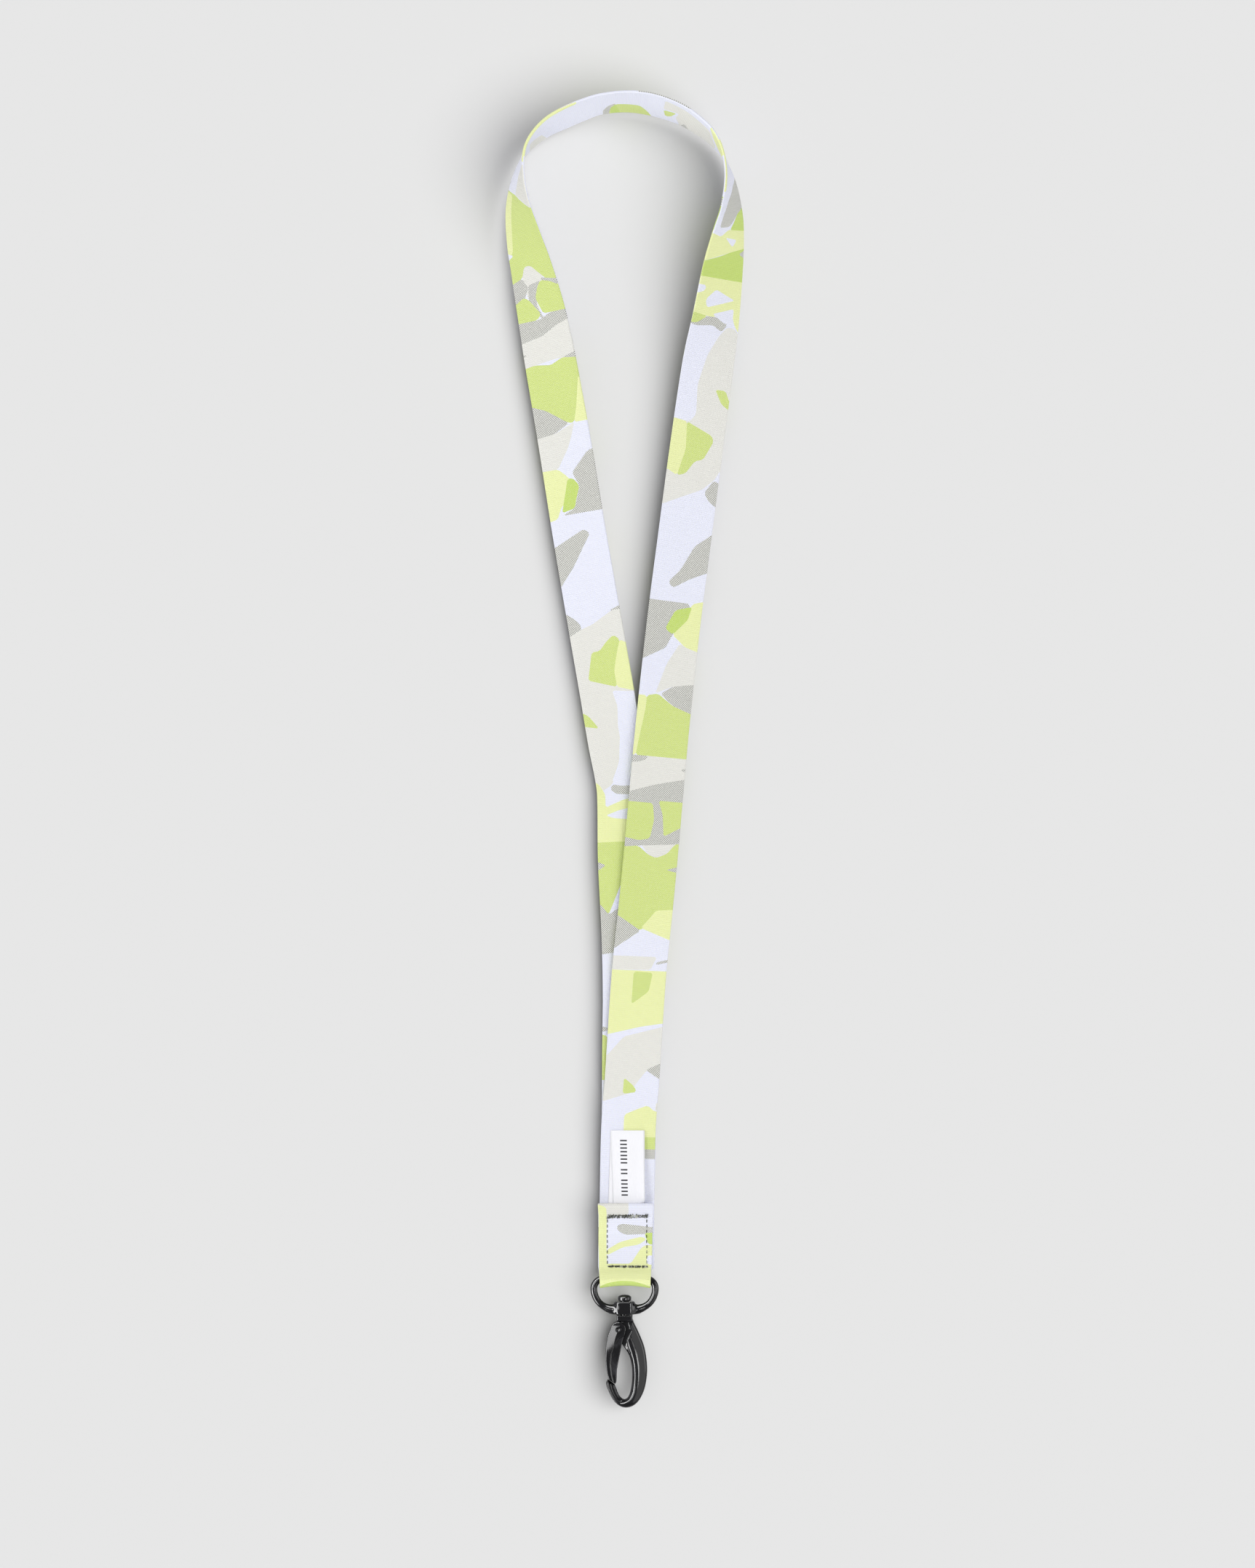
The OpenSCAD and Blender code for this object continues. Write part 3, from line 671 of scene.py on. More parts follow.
def build_webbing():
    outer, inner = ([(ink, stepped(clipped(softened(corners)))) for ink, corners in side]
                    for side in (outer_facets, inner_facets))
    cuts = [s for ink, corners in outer + inner for s, t in corners if abs(abs(t) - FACE_HALF) < TINY]
    edge_stations = sorted(s for s in set(STATION.tolist()) | set(cuts) if 0 <= s <= LENGTH)
    edge_s = np.array(edge_stations)
    points, faces, inks, flats, normals = [], [], [], [], []
    total = 0

    def add(s, t, h, lean, side_lean):
        nonlocal total
        points.append(on_strap(s, t, h))
        flats.append(np.column_stack([s, t]))
        normals.append(unit(at(s, UP) * lean + at(s, ACROSS) * side_lean))
        total += len(s)
        return total - len(s)

    # For each face: the ink beside each step of an edge, and the point at each place
    edge_ink, point_at = {1: {}, -1: {}}, {}
    for face, printed in ((1, outer), (-1, inner)):
        flat, triangles, triangle_inks = printed_face(printed, edge_stations)
        first = add(flat[:, 0], flat[:, 1], np.full(len(flat), face * WEB_T / 2), float(face), 0.0)
        for tri, ink in zip(triangles, triangle_inks):
            for side in (-1, 1):
                on = [flat[k][0] for k in tri if abs(flat[k][1] - side * FACE_HALF) < 1e-6]
                if len(on) == 2:
                    edge_ink[face][side, round(min(on), 3)] = ink
            a, b, c = flat[list(tri)]
            turn = (b[0] - a[0]) * (c[1] - a[1]) - (b[1] - a[1]) * (c[0] - a[0])
            if abs(turn) < TINY:
                continue
            faces.append([first + k for k in (tri if (turn > 0) == (face > 0) else tri[::-1])])
            inks.append(ink)
        point_at[face] = {(round(s, 3), round(t, 3)): first + k for k, (s, t) in enumerate(flat)}

    rows = {}
    for side in (-1, 1):
        rows[side] = []
        for k in range(EDGE_STEPS + 1):
            angle = pi * k / EDGE_STEPS
            if k in (0, EDGE_STEPS):
                lookup = point_at[1 if k == 0 else -1]
                rows[side].append([lookup[round(s, 3), round(side * FACE_HALF, 3)] for s in edge_stations])
                continue
            t = np.full(len(edge_s), side * (FACE_HALF + EDGE_R * sin(angle)))
            h = np.full(len(edge_s), WEB_T / 2 * cos(angle))
            first = add(edge_s, t, h, cos(angle), side * sin(angle))
            rows[side].append(list(range(first, first + len(edge_s))))
        for k in range(EDGE_STEPS):
            near = edge_ink[1 if k < EDGE_STEPS / 2 else -1]
            upper, lower = rows[side][k:k + 2]
            for i in range(len(edge_s) - 1):
                quad = [upper[i], upper[i + 1], lower[i + 1], lower[i]]
                faces.append(quad if side > 0 else quad[::-1])
                inks.append(near.get((side, round(edge_stations[i], 3)), "white"))

    for end, station in ((0, 0), (-1, LENGTH)):
        across = {face: [k for t, k in sorted((t, k) for (s, t), k in point_at[face].items()
                                              if abs(s - station) < 2e-3)] for face in (1, -1)}
        loop = across[1] + [row[end] for row in rows[1][1:-1]]
        loop += across[-1][::-1] + [row[end] for row in rows[-1][-2:0:-1]]
        faces.append(loop[::-1] if end == 0 else loop)
        inks.append("white")

    obj = make_mesh("webbing", np.vstack(points), faces, np.vstack(normals))
    set_flat(obj, np.vstack(flats))
    sizes = [len(face) for face in faces]
    for name, kind, field, values in (("print", "FLOAT_COLOR", "color", [linear(*INKS[k][0]) for k in inks]),
                                      ("hatch", "FLOAT", "value", [INKS[k][1] for k in inks])):
        corners = np.repeat(np.array(values, np.float32), sizes, 0)
        obj.data.attributes.new(name, kind, "CORNER").data.foreach_set(field, corners.ravel())
    return obj


webbing = build_webbing()
finished(webbing, WEBBING, "strap", "neck_strap")


# ---------- label

LABEL_X, LABEL_W, LABEL_ROOT_Y, LABEL_TOP_Y = 1.1, 12.5, -172.5, -138.35
LABEL_T, LABEL_BACK_Z, LABEL_FRONT_Z = 0.1, 2.31, 2.55
# The layers drift apart towards the seam, and the front one narrows, crowns and curls at its right edge
FRONT_DRIFT, BACK_DRIFT, NARROWING, CROWN, CURL, CURL_FROM = 0.95, -0.8, 0.075, 0.35, 1.2, 0.68
LABEL_SHOWS = 26  # length that stands clear of the sewn joint
# The print is rows of plain ticks: first tick, how many, and how far apart
PRINT_ROWS, TICK, TICK_PITCH = ((-162.1, 5), (-154.2, 2), (-150.3, 7)), 0.55, 1.35
TICK_LEFT, TICK_RIGHT = 3.4, 5.9
TICKS = [(y + k * TICK_PITCH, y + k * TICK_PITCH + TICK) for y, count in PRINT_ROWS for k in range(count)]


def sheet_mesh(name, grid, thickness, flat, is_inked):
    """A closed thin sheet round a grid of points, with ink on the cells i, j of its outer face."""
    rows, columns = grid.shape[:2]
    up = unit(np.cross(np.gradient(grid, axis=0), np.gradient(grid, axis=1)))
    points = np.vstack([(grid + face * up * thickness / 2).reshape(-1, 3) for face in (1, -1)])
    half = rows * columns
    place = lambda i, j: i * columns + j
    faces, inked = [], []
    for i in range(rows - 1):
        for j in range(columns - 1):
            quad = [place(i, j), place(i + 1, j), place(i + 1, j + 1), place(i, j + 1)]
            faces += [quad, [half + k for k in quad[::-1]]]
            inked += [is_inked(i, j), False]
    rim = [place(i, 0) for i in range(rows)] + [place(rows - 1, j) for j in range(1, columns)]
    rim += [place(i, columns - 1) for i in range(rows - 2, -1, -1)]
    rim += [place(0, j) for j in range(columns - 2, 0, -1)]
    for a, b in zip(rim, rim[1:] + rim[:1]):
        faces.append([b, a, half + a, half + b])
        inked.append(False)
    obj = make_mesh(name, points, faces)
    set_flat(obj, np.vstack([flat.reshape(-1, 2)] * 2))
    obj.data.polygons.foreach_set("material_index", [int(i) for i in inked])
    return obj


def build_label():
    """One ribbon: up from the seam, folded at the top and back down over itself, a little askew."""
    tick_ends = [y for tick in TICKS for y in tick]
    front = set(np.round(np.linspace(LABEL_ROOT_Y, LABEL_TOP_Y, 36), 2)) | set(tick_ends)
    back = np.linspace(LABEL_ROOT_Y, LABEL_TOP_Y, 30)
    fold_r, middle = (LABEL_FRONT_Z - LABEL_BACK_Z) / 2, (LABEL_FRONT_Z + LABEL_BACK_Z) / 2
    route = [(y, LABEL_BACK_Z, 0) for y in back[:-1]]
    for a in np.radians(np.linspace(-90, 90, 9)):
        route.append((LABEL_TOP_Y + fold_r * cos(a), middle + fold_r * sin(a), 0.5 + 0.5 * sin(a)))
    route += [(y, LABEL_FRONT_Z, 1) for y in sorted(front, reverse=True)[1:]]
    across = sorted(set(np.round(np.linspace(0, LABEL_W, 15), 2)) | {TICK_LEFT, TICK_RIGHT})
    grid, flat, run = [], [], 0.0
    for k, (y, z, layer) in enumerate(route):
        run += np.hypot(y - route[k - 1][0], z - route[k - 1][1]) if k else 0
        low = min(1, (LABEL_TOP_Y - y) / LABEL_SHOWS)
        left = LABEL_X - LABEL_W / 2 + low * (FRONT_DRIFT * layer + BACK_DRIFT * (1 - layer))
        squeeze = 1 - NARROWING * low * layer
        low = max(0, low)
        row = []
        for v in across:
            u = v / LABEL_W
            crown = CROWN * layer * sin(pi * low) * sin(pi * u) ** 2
            curl = CURL * layer * low * max(0, (u - CURL_FROM) / (1 - CURL_FROM)) ** 2 * (y > HEM_Y + 2)
            row.append((left + v * squeeze, y, z + crown + curl))
        grid.append(row)
        flat.append([(v, run) for v in across])

    def is_inked(i, j):
        y = (route[i][0] + route[i + 1][0]) / 2
        return route[i][2] == 1 and TICK_LEFT <= across[j] < TICK_RIGHT and any(a < y < b for a, b in TICKS)

    return sheet_mesh("folded_label", np.array(grid), LABEL_T, np.array(flat), is_inked), run


label, label_length = build_label()
label.data.materials.append(SATIN)
label.data.materials.append(INK)
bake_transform(label)
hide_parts("label_root", "label_flap")


# ---------- sewing

BOX_X, BOX_W, BOX_L, BOX_TOP_Y = 1, 15, 18.5, -169.4
BOX_LOW_Y = BOX_TOP_Y - BOX_L
STITCH, STITCH_PITCH, CORE_LENGTH, CORE_PITCH, SUNK, SHARE_KEPT = 1.35, 1.9, 2.4, 2.5, 0.12, 0.82


def tube(points, radius, sides, end_size):
    """Points and faces of a tube along a route. Its ends are drawn in to a share of its size."""
    q = np.asarray(points, float)
    along = chords(q)
    reference = np.where(np.abs(along[:, 2:3]) > 0.9, [[1.0, 0, 0]], [[0, 0, 1.0]])
    side = unit(np.cross(reference, along))
    for k in range(1, len(q)):
        side[k] = unit(side[k - 1] - (side[k - 1] @ along[k]) * along[k])
    up = np.cross(along, side)
    size = np.full(len(q), float(radius))
    size[0] = size[-1] = radius * end_size
    angles = np.arange(sides) * 2 * pi / sides
    rings = [q[k] + size[k] * (np.outer(np.cos(angles), side[k]) + np.outer(np.sin(angles), up[k]))
             for k in range(len(q))]
    faces = [list(range(sides))[::-1]]
    for i in range(len(q) - 1):
        for k in range(sides):
            a, b = i * sides + k, i * sides + (k + 1) % sides
            faces.append([a, b, b + sides, a + sides])
    faces.append([(len(q) - 1) * sides + k for k in range(sides)])
    return np.vstack(rings), faces


def joined(name, tubes):
    """One object from several tubes."""
    points, faces, total = [], [], 0
    for p, f in tubes:
        points.append(p)
        faces += [[total + k for k in face] for face in f]
        total += len(p)
    return make_mesh(name, np.vstack(points), faces)


def tab_top(y):
    """Height of the tab's outer face."""
    rows = (STATION > LENGTH - 40) & (STATION < LENGTH - 9.8)
    order = np.argsort(CENTRE[rows, 1])
    return np.interp(y, CENTRE[rows, 1][order], CENTRE[rows, 2][order]) + WEB_T / 2


def thread(x0, y0, x1, y1, radius, rise):
    """One stitch: out of the cloth, along its face and back in."""
    length = np.hypot(x1 - x0, y1 - y0)
    route = []
    for u in np.linspace(0, 1, max(5, int(length / 0.25)) + 1):
        x, y = x0 + u * (x1 - x0), y0 + u * (y1 - y0)
        lift = -SUNK + (rise + SUNK) * min(1, sin(pi * u) * max(1, length * 0.8))
        route.append((x, y, tab_top(y) + lift))
    return tube(route, radius, 8, 0.45)


def bartack(name, y, half, count, drift, seed):
    """A dense zigzag of thread over a core of straight runs."""
    rng = np.random.default_rng(seed)
    left, step = BOX_X - BOX_W / 2, BOX_W / count
    threads = []
    for lane in (-0.3, 0.35):
        for a in np.arange(left + 0.2, left + BOX_W - 1.5, CORE_PITCH):
            y0, y1 = (y + lane * half + rng.uniform(-0.08, 0.08) for end in range(2))
            threads.append(thread(a, y0, a + CORE_LENGTH, y1, 0.17, 0.1))
    for k in range(count):
        x = left + (k + 0.15) * step
        high = half * rng.uniform(0.5, 1.15)
        shift = drift * (k / count - 0.5)
        if rng.random() > SHARE_KEPT:
            continue
        lean = step * rng.uniform(0.3, 1.3)
        threads.append(thread(x, y - high + shift, x + lean, y + high + shift, 0.16, 0.3))
    return joined(name, threads)


def stitch_line(name, x, seed):
    """A line of single stitches along a side of the sewn box."""
    rng = np.random.default_rng(seed)
    threads = []
    y = BOX_LOW_Y + 0.9
    while y + STITCH < BOX_TOP_Y - 0.4:
        wander = rng.uniform(-0.07, 0.07, 2)
        threads.append(thread(x + wander[0], y, x + wander[1], y + STITCH, 0.15, 0.1))
        y += STITCH_PITCH
    return joined(name, threads)


sewing = {
    "upper_bartack": bartack("upper_bartack_thread", BOX_TOP_Y, 0.85, 24, 0.3, 3),
    "lower_bartack": bartack("lower_bartack_thread", BOX_LOW_Y, 0.5, 22, -0.2, 5),
    "left_stitch_line": stitch_line("left_stitch_thread", BOX_X - BOX_W / 2 + 0.2, 7),
    "right_stitch_line": stitch_line("right_stitch_thread", BOX_X + BOX_W / 2 - 0.4, 9),
}
for node, piece in sewing.items():
    finished(piece, THREAD, "strap", node)


# ---------- metal parts as distance fields

ROD_R, RING_W, RING_H, RING_TOP_BEND, HUB_R = 1.25, 25, 11.25, 3.5, 3.7
HUB_TOP_Y, HUB_LOW_Y, HUB_HALF_T = -200.7, -205.4, 2.75
SHANK_R, PIN_R, BODY_T, GATE_T = 1.5, 0.9, 4.6, 4.4
PIVOT = (-2.3, -210.8)
HEAD_R, EAR_R, RECESS_R, TONGUE_HALF_T, CHANNEL_HALF_T = 2.75, 1.9, 4.1, 1.45, 1.6
GATE_WEB, SLOT_HALF_T, SLOT_R, RUNNING, SEATED = 0.75, 0.7, 2.1, 0.05, 0.01
NECK_TOP_Y, NECK_LOW_Y, NECK_HALF_W, BORE_LOW_Y = -205.55, -207.8, 3.05, -207.9
WAIST, WAIST_DOWN, WAIST_REACH, POCKET_DEPTH = 0.15, 0.9, 1.3, 0.26

LIMB_OUTSIDE = [
    (2.95, -207.5), (5.3, -212.3), (7.4, -218), (8.3, -225.5), (7.5, -232), (5.7, -236.3), (3.4, -238.7),
    (0.7, -239.5), (-1.7, -238.9), (-3.9, -237), (-5.6, -234), (-6.8, -230.6), (-6.1, -229.2)]
LIMB_INSIDE = [
    (-3.6, -231), (-3, -232.6), (-1.9, -235.1), (-0.3, -236.5), (1.1, -235.9), (2.1, -233.6), (2.7, -229.5),
    (2.6, -224.5), (1.6, -220.4), (-0.3, -217.2)]
RECESS_FLANK = [
    (-1.5, -214), (1.2, -210), (2.5, -211.4), (0.85, -214.7), (0.85, -217), (1.9, -219.4), (1, -222.5),
    (-2, -219)]
CREST = [
    (0.3, -213.4), (0.7, -214.4), (1.65, -217.3), (2.6, -220.2), (3.3, -223.4), (3.6, -226.6), (3.55, -229.8),
    (3.25, -232.7), (2.45, -235.2), (1.3, -236.8), (0, -237.6), (-1.55, -237.8), (-3, -237.1), (-4.2, -235.6),
    (-5.1, -233.9), (-5.8, -231.8), (-6.1, -230)]
GATE_OUTSIDE = [(-4.6, -209.3), (-6.2, -213.5), (-7, -220.5), (-6.5, -226.6), (-5.75, -229.15)]
GATE_INSIDE = [(-3.45, -230.7), (-3, -230), (-2.7, -225.4), (-1.6, -219.4), (-0.8, -215.5), (0.3, -212)]
GATE_POCKET = [
    (-0.6, -213.2), (-2.2, -214.1), (-3.7, -216.2), (-4.9, -219.6), (-5.2, -223.6), (-4.8, -227.4),
    (-3.8, -231.5), (2, -231), (2, -212.6)]
TONGUE = [
    (PIVOT[0] - 0.3, PIVOT[1] + EAR_R - 0.05), (1.5, NECK_LOW_Y + 0.4), (3, NECK_LOW_Y), (2, -214),
    (-0.3, -217.2), (PIVOT[0] - 1.5, PIVOT[1] - 1.1)]


def least(a, b, k):
    """Union of two fields, with a fillet of about k."""
    h = np.clip(0.5 + 0.5 * (b - a) / k, 0, 1)
    return b * (1 - h) + a * h - k * h * (1 - h)


def most(a, b, k):
    """Overlap of two fields, with a rounding of about k."""
    return -least(-a, -b, k)


def step(low, high, value):
    """A smooth rise from 0 at low to 1 at high."""
    u = np.clip((value - low) / (high - low), 0, 1)
    return u * u * (3 - 2 * u)


def to_line(x, y, points):
    """Distance to an open line."""
    best = np.inf
    for (ax, ay), (bx, by) in zip(points[:-1], points[1:]):
        ex, ey, px, py = bx - ax, by - ay, x - ax, y - ay
        u = np.clip((px * ex + py * ey) / (ex * ex + ey * ey), 0, 1)
        best = np.minimum(best, (px - u * ex) ** 2 + (py - u * ey) ** 2)
    return np.sqrt(best)


def to_outline(x, y, points):
    """Signed distance to a closed outline."""
    ring = list(points) + [points[0]]
    inside = np.zeros(np.broadcast(x, y).shape, bool)
    for (ax, ay), (bx, by) in zip(ring[:-1], ring[1:]):
        if ay == by:
            continue
        inside ^= ((ay > y) != (by > y)) & (x < (bx - ax) * (y - ay) / (by - ay) + ax)
    return np.where(inside, -1, 1) * to_line(x, y, ring)


def disc(x, y, centre, r):
    return np.hypot(x - centre[0], y - centre[1]) - r


def thick(flat, over, half, r):
    """A flat outline given thickness, with its rims rounded to r."""
    a, b = flat + r, over - half + r
    return np.minimum(np.maximum(a, b), 0) + np.hypot(np.maximum(a, 0), np.maximum(b, 0)) - r


def points_of(*rows):
    """One outline through several smoothed lines."""
    return [tuple(p) for row in rows for p in smooth(row, 0.6)]


HOOK_OUTSIDE = smooth(LIMB_OUTSIDE, 0.6)
HOOK_OUTLINE = points_of(LIMB_OUTSIDE, LIMB_INSIDE) + [(-0.9, -215), (-0.9, -207.5)]
CREST_SIDE = [tuple(p) for p in smooth(CREST, 0.5)] + [(-8, -230), (-8, -213.4)]
GATE_OUTLINE = points_of(GATE_OUTSIDE, GATE_INSIDE)
GATE_EDGE = smooth(GATE_OUTSIDE, 1.0)
# The hook's limb: its crowned outer side, its shoulder along the crest, and the bevel inside the crest
LIMB_W, LIMB_RIM, LIMB_SHAPED_Y = 4.6, 0.9, (-212, -216)
CROWN_DROP, CROWN_REACH, CROWN_POWER = 1.5, 0.8, 1.7
SHOULDER_DROP, SHOULDER_W, BEVEL_SLOPE, BEVEL_W = 0.25, 1.5, 1.15, 0.85
# The ring swells towards its hub, and the gate's outer edge is lower towards its head
SWELL, SWELL_X, SWELL_Y = 0.5, (4.2, 8.5), (-199, -202)
GATE_RIM, GATE_RIM_W, GATE_RIM_Y = 0.6, 2.8, (-226, -212)
# How far from an edge the lacquer is worn
WEAR_REACH = 0.25
# The rivet's head and shank, and the pin's head and peened dimple
RIVET_R, RIVET_Y, RIVET_HALF, DOME_R, DOME_Y, SHANK_Y, SHANK_HALF = 2.45, -199.35, 1.15, 4.05, -202.2, -204, 3.8
PIN_HALF, PIN_HEAD_R, PIN_HEAD_HALF, DIMPLE_R, DIMPLE_Z = 2.4, 1.15, 0.14, 0.75, 2.9


def ring_field(x, y, z):
    half_w = RING_W / 2 - ROD_R
    bend = np.where(y > BAR_Y - RING_TOP_BEND, RING_TOP_BEND, RING_H - RING_TOP_BEND)
    qx, qy = np.abs(x) - half_w + bend, np.abs(y - BAR_Y + RING_TOP_BEND)
    flat = np.hypot(np.maximum(qx, 0), np.maximum(qy, 0)) + np.minimum(np.maximum(qx, qy), 0) - bend
    swell = SWELL * (1 - step(*SWELL_X, np.abs(x))) * step(*SWELL_Y, y)
    rod = np.hypot(flat, z) - ROD_R - swell
    rho = np.hypot(x, z)
    hub = thick(rho - HUB_R, np.abs(y - (HUB_TOP_Y + HUB_LOW_Y) / 2), (HUB_TOP_Y - HUB_LOW_Y) / 2, 0.5)
    hub = most(hub, np.abs(z) - HUB_HALF_T, 0.5)
    body = most(least(rod, hub, 1.5), HUB_LOW_Y - y, 0.3)
    return most(body, SHANK_R + RUNNING - rho, 0.1)


def rivet_field(x, y, z):
    rho = np.hypot(x, z)
    head = thick(rho - RIVET_R, np.abs(y - RIVET_Y), RIVET_HALF, 0.55)
    head = most(head, np.hypot(rho, y - DOME_Y) - DOME_R, 0.3)
    return np.minimum(head, np.maximum(rho - SHANK_R, np.abs(y - SHANK_Y) - SHANK_HALF))


def hook_field(x, y, z):
    over = np.abs(z)
    side = to_outline(x, y, CREST_SIDE)
    edge = to_line(x, y, HOOK_OUTSIDE)
    band = edge + np.maximum(side, 0) + 0.001
    wide, shaped = np.clip(band / LIMB_W, 0, 1), step(*LIMB_SHAPED_Y, y)
    crown = CROWN_DROP * wide * (1 - np.clip(edge / band / CROWN_REACH, 0, 1)) ** CROWN_POWER
    shoulder = SHOULDER_DROP * wide * (1 - np.clip(side / SHOULDER_W, 0, 1)) ** 2 * shaped
    bevel = BEVEL_SLOPE * least(most(-side, 0, 0.4), BEVEL_W, 0.2) * shaped
    limb = thick(to_outline(x, y, HOOK_OUTLINE), over, BODY_T / 2 - crown - shoulder - bevel, LIMB_RIM)
    recess = np.minimum(disc(x, y, PIVOT, RECESS_R), to_outline(x, y, RECESS_FLANK))
    limb = most(limb, -np.maximum(recess, TONGUE_HALF_T - over), 0.5)
    tongue = np.minimum(disc(x, y, PIVOT, EAR_R), to_outline(x, y, TONGUE))
    limb = np.minimum(limb, thick(tongue, over, TONGUE_HALF_T, 0.1))
    neck_y, neck_half = (NECK_TOP_Y + NECK_LOW_Y) / 2, (NECK_TOP_Y - NECK_LOW_Y) / 2
    neck = np.maximum(np.abs(x) - NECK_HALF_W, np.abs(y - neck_y) - neck_half)
    waist = WAIST * (1 - ((np.clip(y, NECK_LOW_Y, NECK_TOP_Y) - NECK_TOP_Y + WAIST_DOWN) / WAIST_REACH) ** 2)
    body = least(limb, thick(neck + waist, over, BODY_T / 2 - waist, 0.5), 0.7)
    body = most(body, y - NECK_TOP_Y, 0.1)
    body = np.maximum(body, -np.maximum(np.hypot(x, z) - SHANK_R - SEATED, BORE_LOW_Y - y))
    body = np.maximum(body, -disc(x, y, PIVOT, PIN_R + SEATED))
    leg_room = np.maximum(np.abs(x - PIVOT[0] - 1.6) - 1.6, np.abs(y - PIVOT[1] - 0.8) - 1)
    room = np.maximum(np.minimum(disc(x, y, PIVOT, SLOT_R), leg_room), over - SLOT_HALF_T)
    return np.maximum(body, -room)


def gate_flat(x, y):
    return np.minimum(disc(x, y, PIVOT, HEAD_R), to_outline(x, y, GATE_OUTLINE))


def gate_field(x, y, z):
    over = np.abs(z)
    sunk = 1 - step(-0.2, 0.2, to_outline(x, y, GATE_POCKET))
    lean = 1 - np.clip(to_line(x, y, GATE_EDGE) / GATE_RIM_W, 0, 1)
    rim = GATE_RIM * lean * step(*GATE_RIM_Y, y) * (1 - sunk)
    shell = thick(gate_flat(x, y), over, GATE_T / 2 - rim - POCKET_DEPTH * sunk, 0.35)
    channel = np.maximum(gate_flat(x - GATE_WEB, y), over - CHANNEL_HALF_T)
    return np.maximum(most(shell, -channel, 0.12), -disc(x, y, PIVOT, PIN_R + RUNNING))


def pin_field(x, y, z):
    over = np.abs(z)
    rho = np.hypot(x - PIVOT[0], y - PIVOT[1])
    head = thick(rho - PIN_HEAD_R, np.abs(over - PIN_HALF), PIN_HEAD_HALF, 0.12)
    pin = np.minimum(np.maximum(rho - PIN_R, over - PIN_HALF), head)
    return most(pin, DIMPLE_R - np.hypot(rho, over - DIMPLE_Z), 0.05)


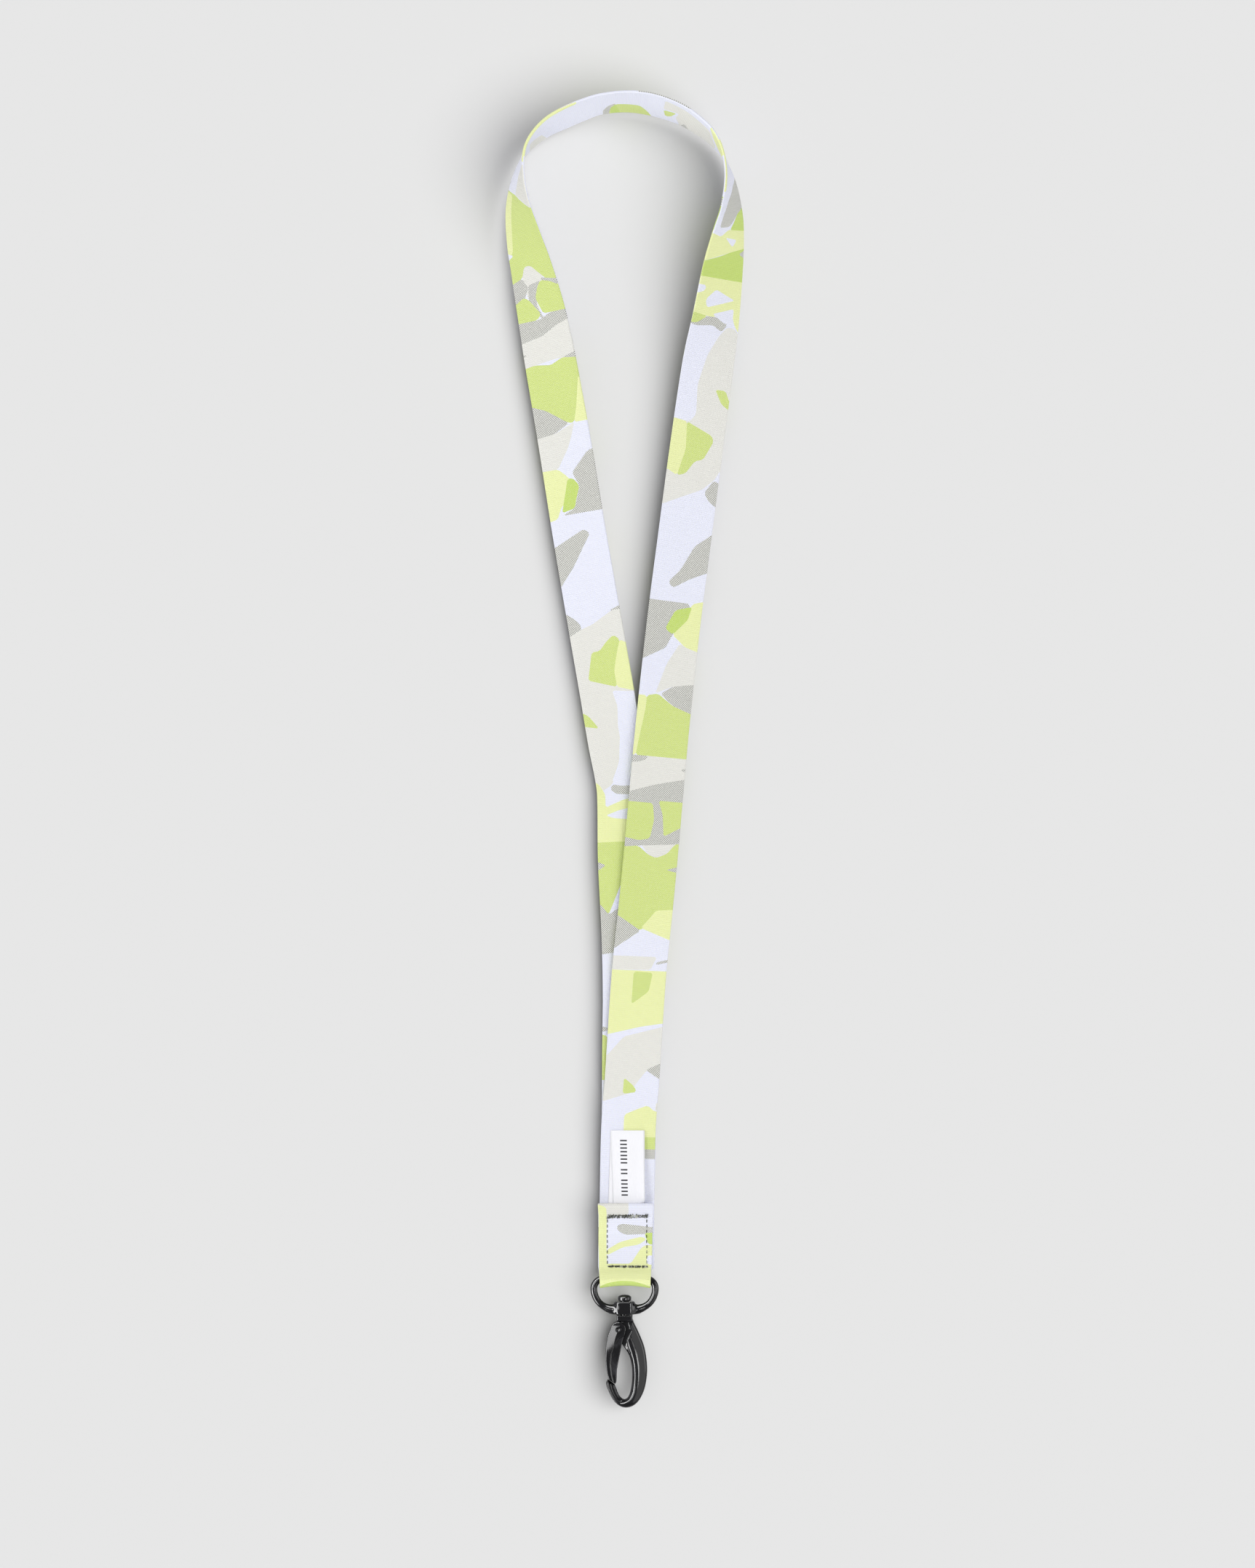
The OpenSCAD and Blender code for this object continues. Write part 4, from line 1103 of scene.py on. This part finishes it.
def solid(name, field, low, high, cell):
    """A closed mesh on the zero surface of a field, with the field's own normals."""
    axes = [np.arange(low[k] - cell, high[k] + 2 * cell, cell) for k in range(3)]
    grid = field(axes[0][:, None, None], axes[1][None, :, None], axes[2][None, None, :])
    full = grid.shape
    inside = grid < 0
    count = sum(inside[i:full[0] - 1 + i, j:full[1] - 1 + j, k:full[2] - 1 + k].astype(np.int8)
                for i in (0, 1) for j in (0, 1) for k in (0, 1))
    active = (count > 0) & (count < 8)
    cells = np.argwhere(active)
    index = np.full(active.shape, -1)
    index[active] = np.arange(len(cells))
    total, hits = np.zeros((len(cells), 3)), np.zeros(len(cells))
    basis = np.eye(3, dtype=int)
    faces = []
    # One point for each cell that the surface crosses, and one quad for each crossed edge of the grid
    for axis in range(3):
        b, c = basis[(axis + 1) % 3], basis[(axis + 2) % 3]
        for shift in (0 * b, b, c, b + c):
            start = cells + shift
            f0, f1 = grid[tuple(start.T)], grid[tuple((start + basis[axis]).T)]
            crossing = (f0 < 0) != (f1 < 0)
            u = np.where(crossing, f0 / np.where(crossing, f0 - f1, 1), 0)
            total += np.where(crossing[:, None], start + u[:, None] * basis[axis], 0)
            hits += crossing
        here = inside[tuple(slice(0, full[k] - basis[axis][k]) for k in range(3))]
        there = inside[tuple(slice(basis[axis][k], full[k]) for k in range(3))]
        edges = np.argwhere(here != there)
        quad = np.stack([index[tuple((edges - shift).T)] for shift in (0 * b, b, b + c, c)], 1)
        faces.append(np.where(here[tuple(edges.T)][:, None], quad, quad[:, ::-1]))
    points = total / hits[:, None] * cell + np.array([a[0] for a in axes])
    value = lambda p: field(*p.T)

    def slope(p, reach):
        return np.stack([value(p + reach * way) - value(p - reach * way) for way in basis], 1) / (2 * reach)

    for _ in range(2):
        g = slope(points, cell / 4)
        move = value(points) / np.maximum((g * g).sum(1), 0.3)
        points = points - np.clip(move, -cell / 2, cell / 2)[:, None] * g
    normals = unit(slope(points, cell / 3) + TINY)
    around = sum(value(points + WEAR_REACH * d * way) for way in basis for d in (-1, 1))
    convex = np.clip((around - 6 * value(points)) / WEAR_REACH, 0, 1)
    quads = np.vstack(faces)
    p0, p1, p2, p3 = (points[quads[:, k]] for k in range(4))
    short = (np.linalg.norm(p0 - p2, axis=1) < np.linalg.norm(p1 - p3, axis=1))[:, None]
    triangles = np.vstack([np.where(short, quads[:, [0, 1, 2]], quads[:, [0, 1, 3]]),
                           np.where(short, quads[:, [0, 2, 3]], quads[:, [1, 2, 3]])])
    return make_mesh(name, points + np.array([0, 0, PLANE_Z]), triangles, normals, convex)


def metal(name, node, body, field, low, high, cell):
    """A lacquered piece, meshed inside the box from low to high."""
    obj = solid(name, field, low, high, cell)
    keep_dark(obj)
    only_metal.objects.link(obj)
    finished(obj, LACQUER, body, node)


metal("ring_casting", "swivel_ring", "ring", ring_field, (-12.6, -206.2, -2.9), (12.6, -191, 2.9), 0.16)
metal("rivet_head", "swivel_rivet", "hook", rivet_field, (-2.6, -207.9, -2.6), (2.6, -198, 2.6), 0.11)
metal("hook_casting", "hook_body", "hook", hook_field, (-7.2, -239.7, -2.4), (8.5, -205.4, 2.4), 0.12)
metal("gate_casting", "gate", "gate", gate_field, (-7.2, -231, -2.3), (0.6, -207.8, 2.3), 0.09)
metal("pin_peened", "gate_pin", "hook", pin_field, (-3.6, -212.1, -2.6), (-1, -209.5, 2.6), 0.08)

SPRING_R, WIRE_R, SPRING_TURNS, SPRING_PITCH = 1.3, 0.2, 2, 0.42
COIL_START, COIL_MIDDLE, COIL_END, COIL_STEP = 200, 60, 760, 12
GATE_LEG, BODY_LEG = (-0.8, -4), (1.9, 0.9, 0)


def coil_point(a):
    return np.array([PIVOT[0] + SPRING_R * cos(radians(a)), PIVOT[1] + SPRING_R * sin(radians(a)),
                     PLANE_Z + SPRING_PITCH * (a / 360 - SPRING_TURNS / 2 - COIL_MIDDLE / 360)])


coil = [coil_point(a) for a in range(COIL_START, COIL_END + 1, COIL_STEP)]
gate_leg = coil_point(COIL_START) + np.array([*GATE_LEG, (COIL_MIDDLE - COIL_START) / 360 * SPRING_PITCH])
body_leg = coil_point(COIL_END) + np.array(BODY_LEG)
spring = joined("torsion_spring", [tube([gate_leg] + coil + [body_leg], WIRE_R, 10, 1)])
finished(spring, STEEL, "hook", "gate_spring")
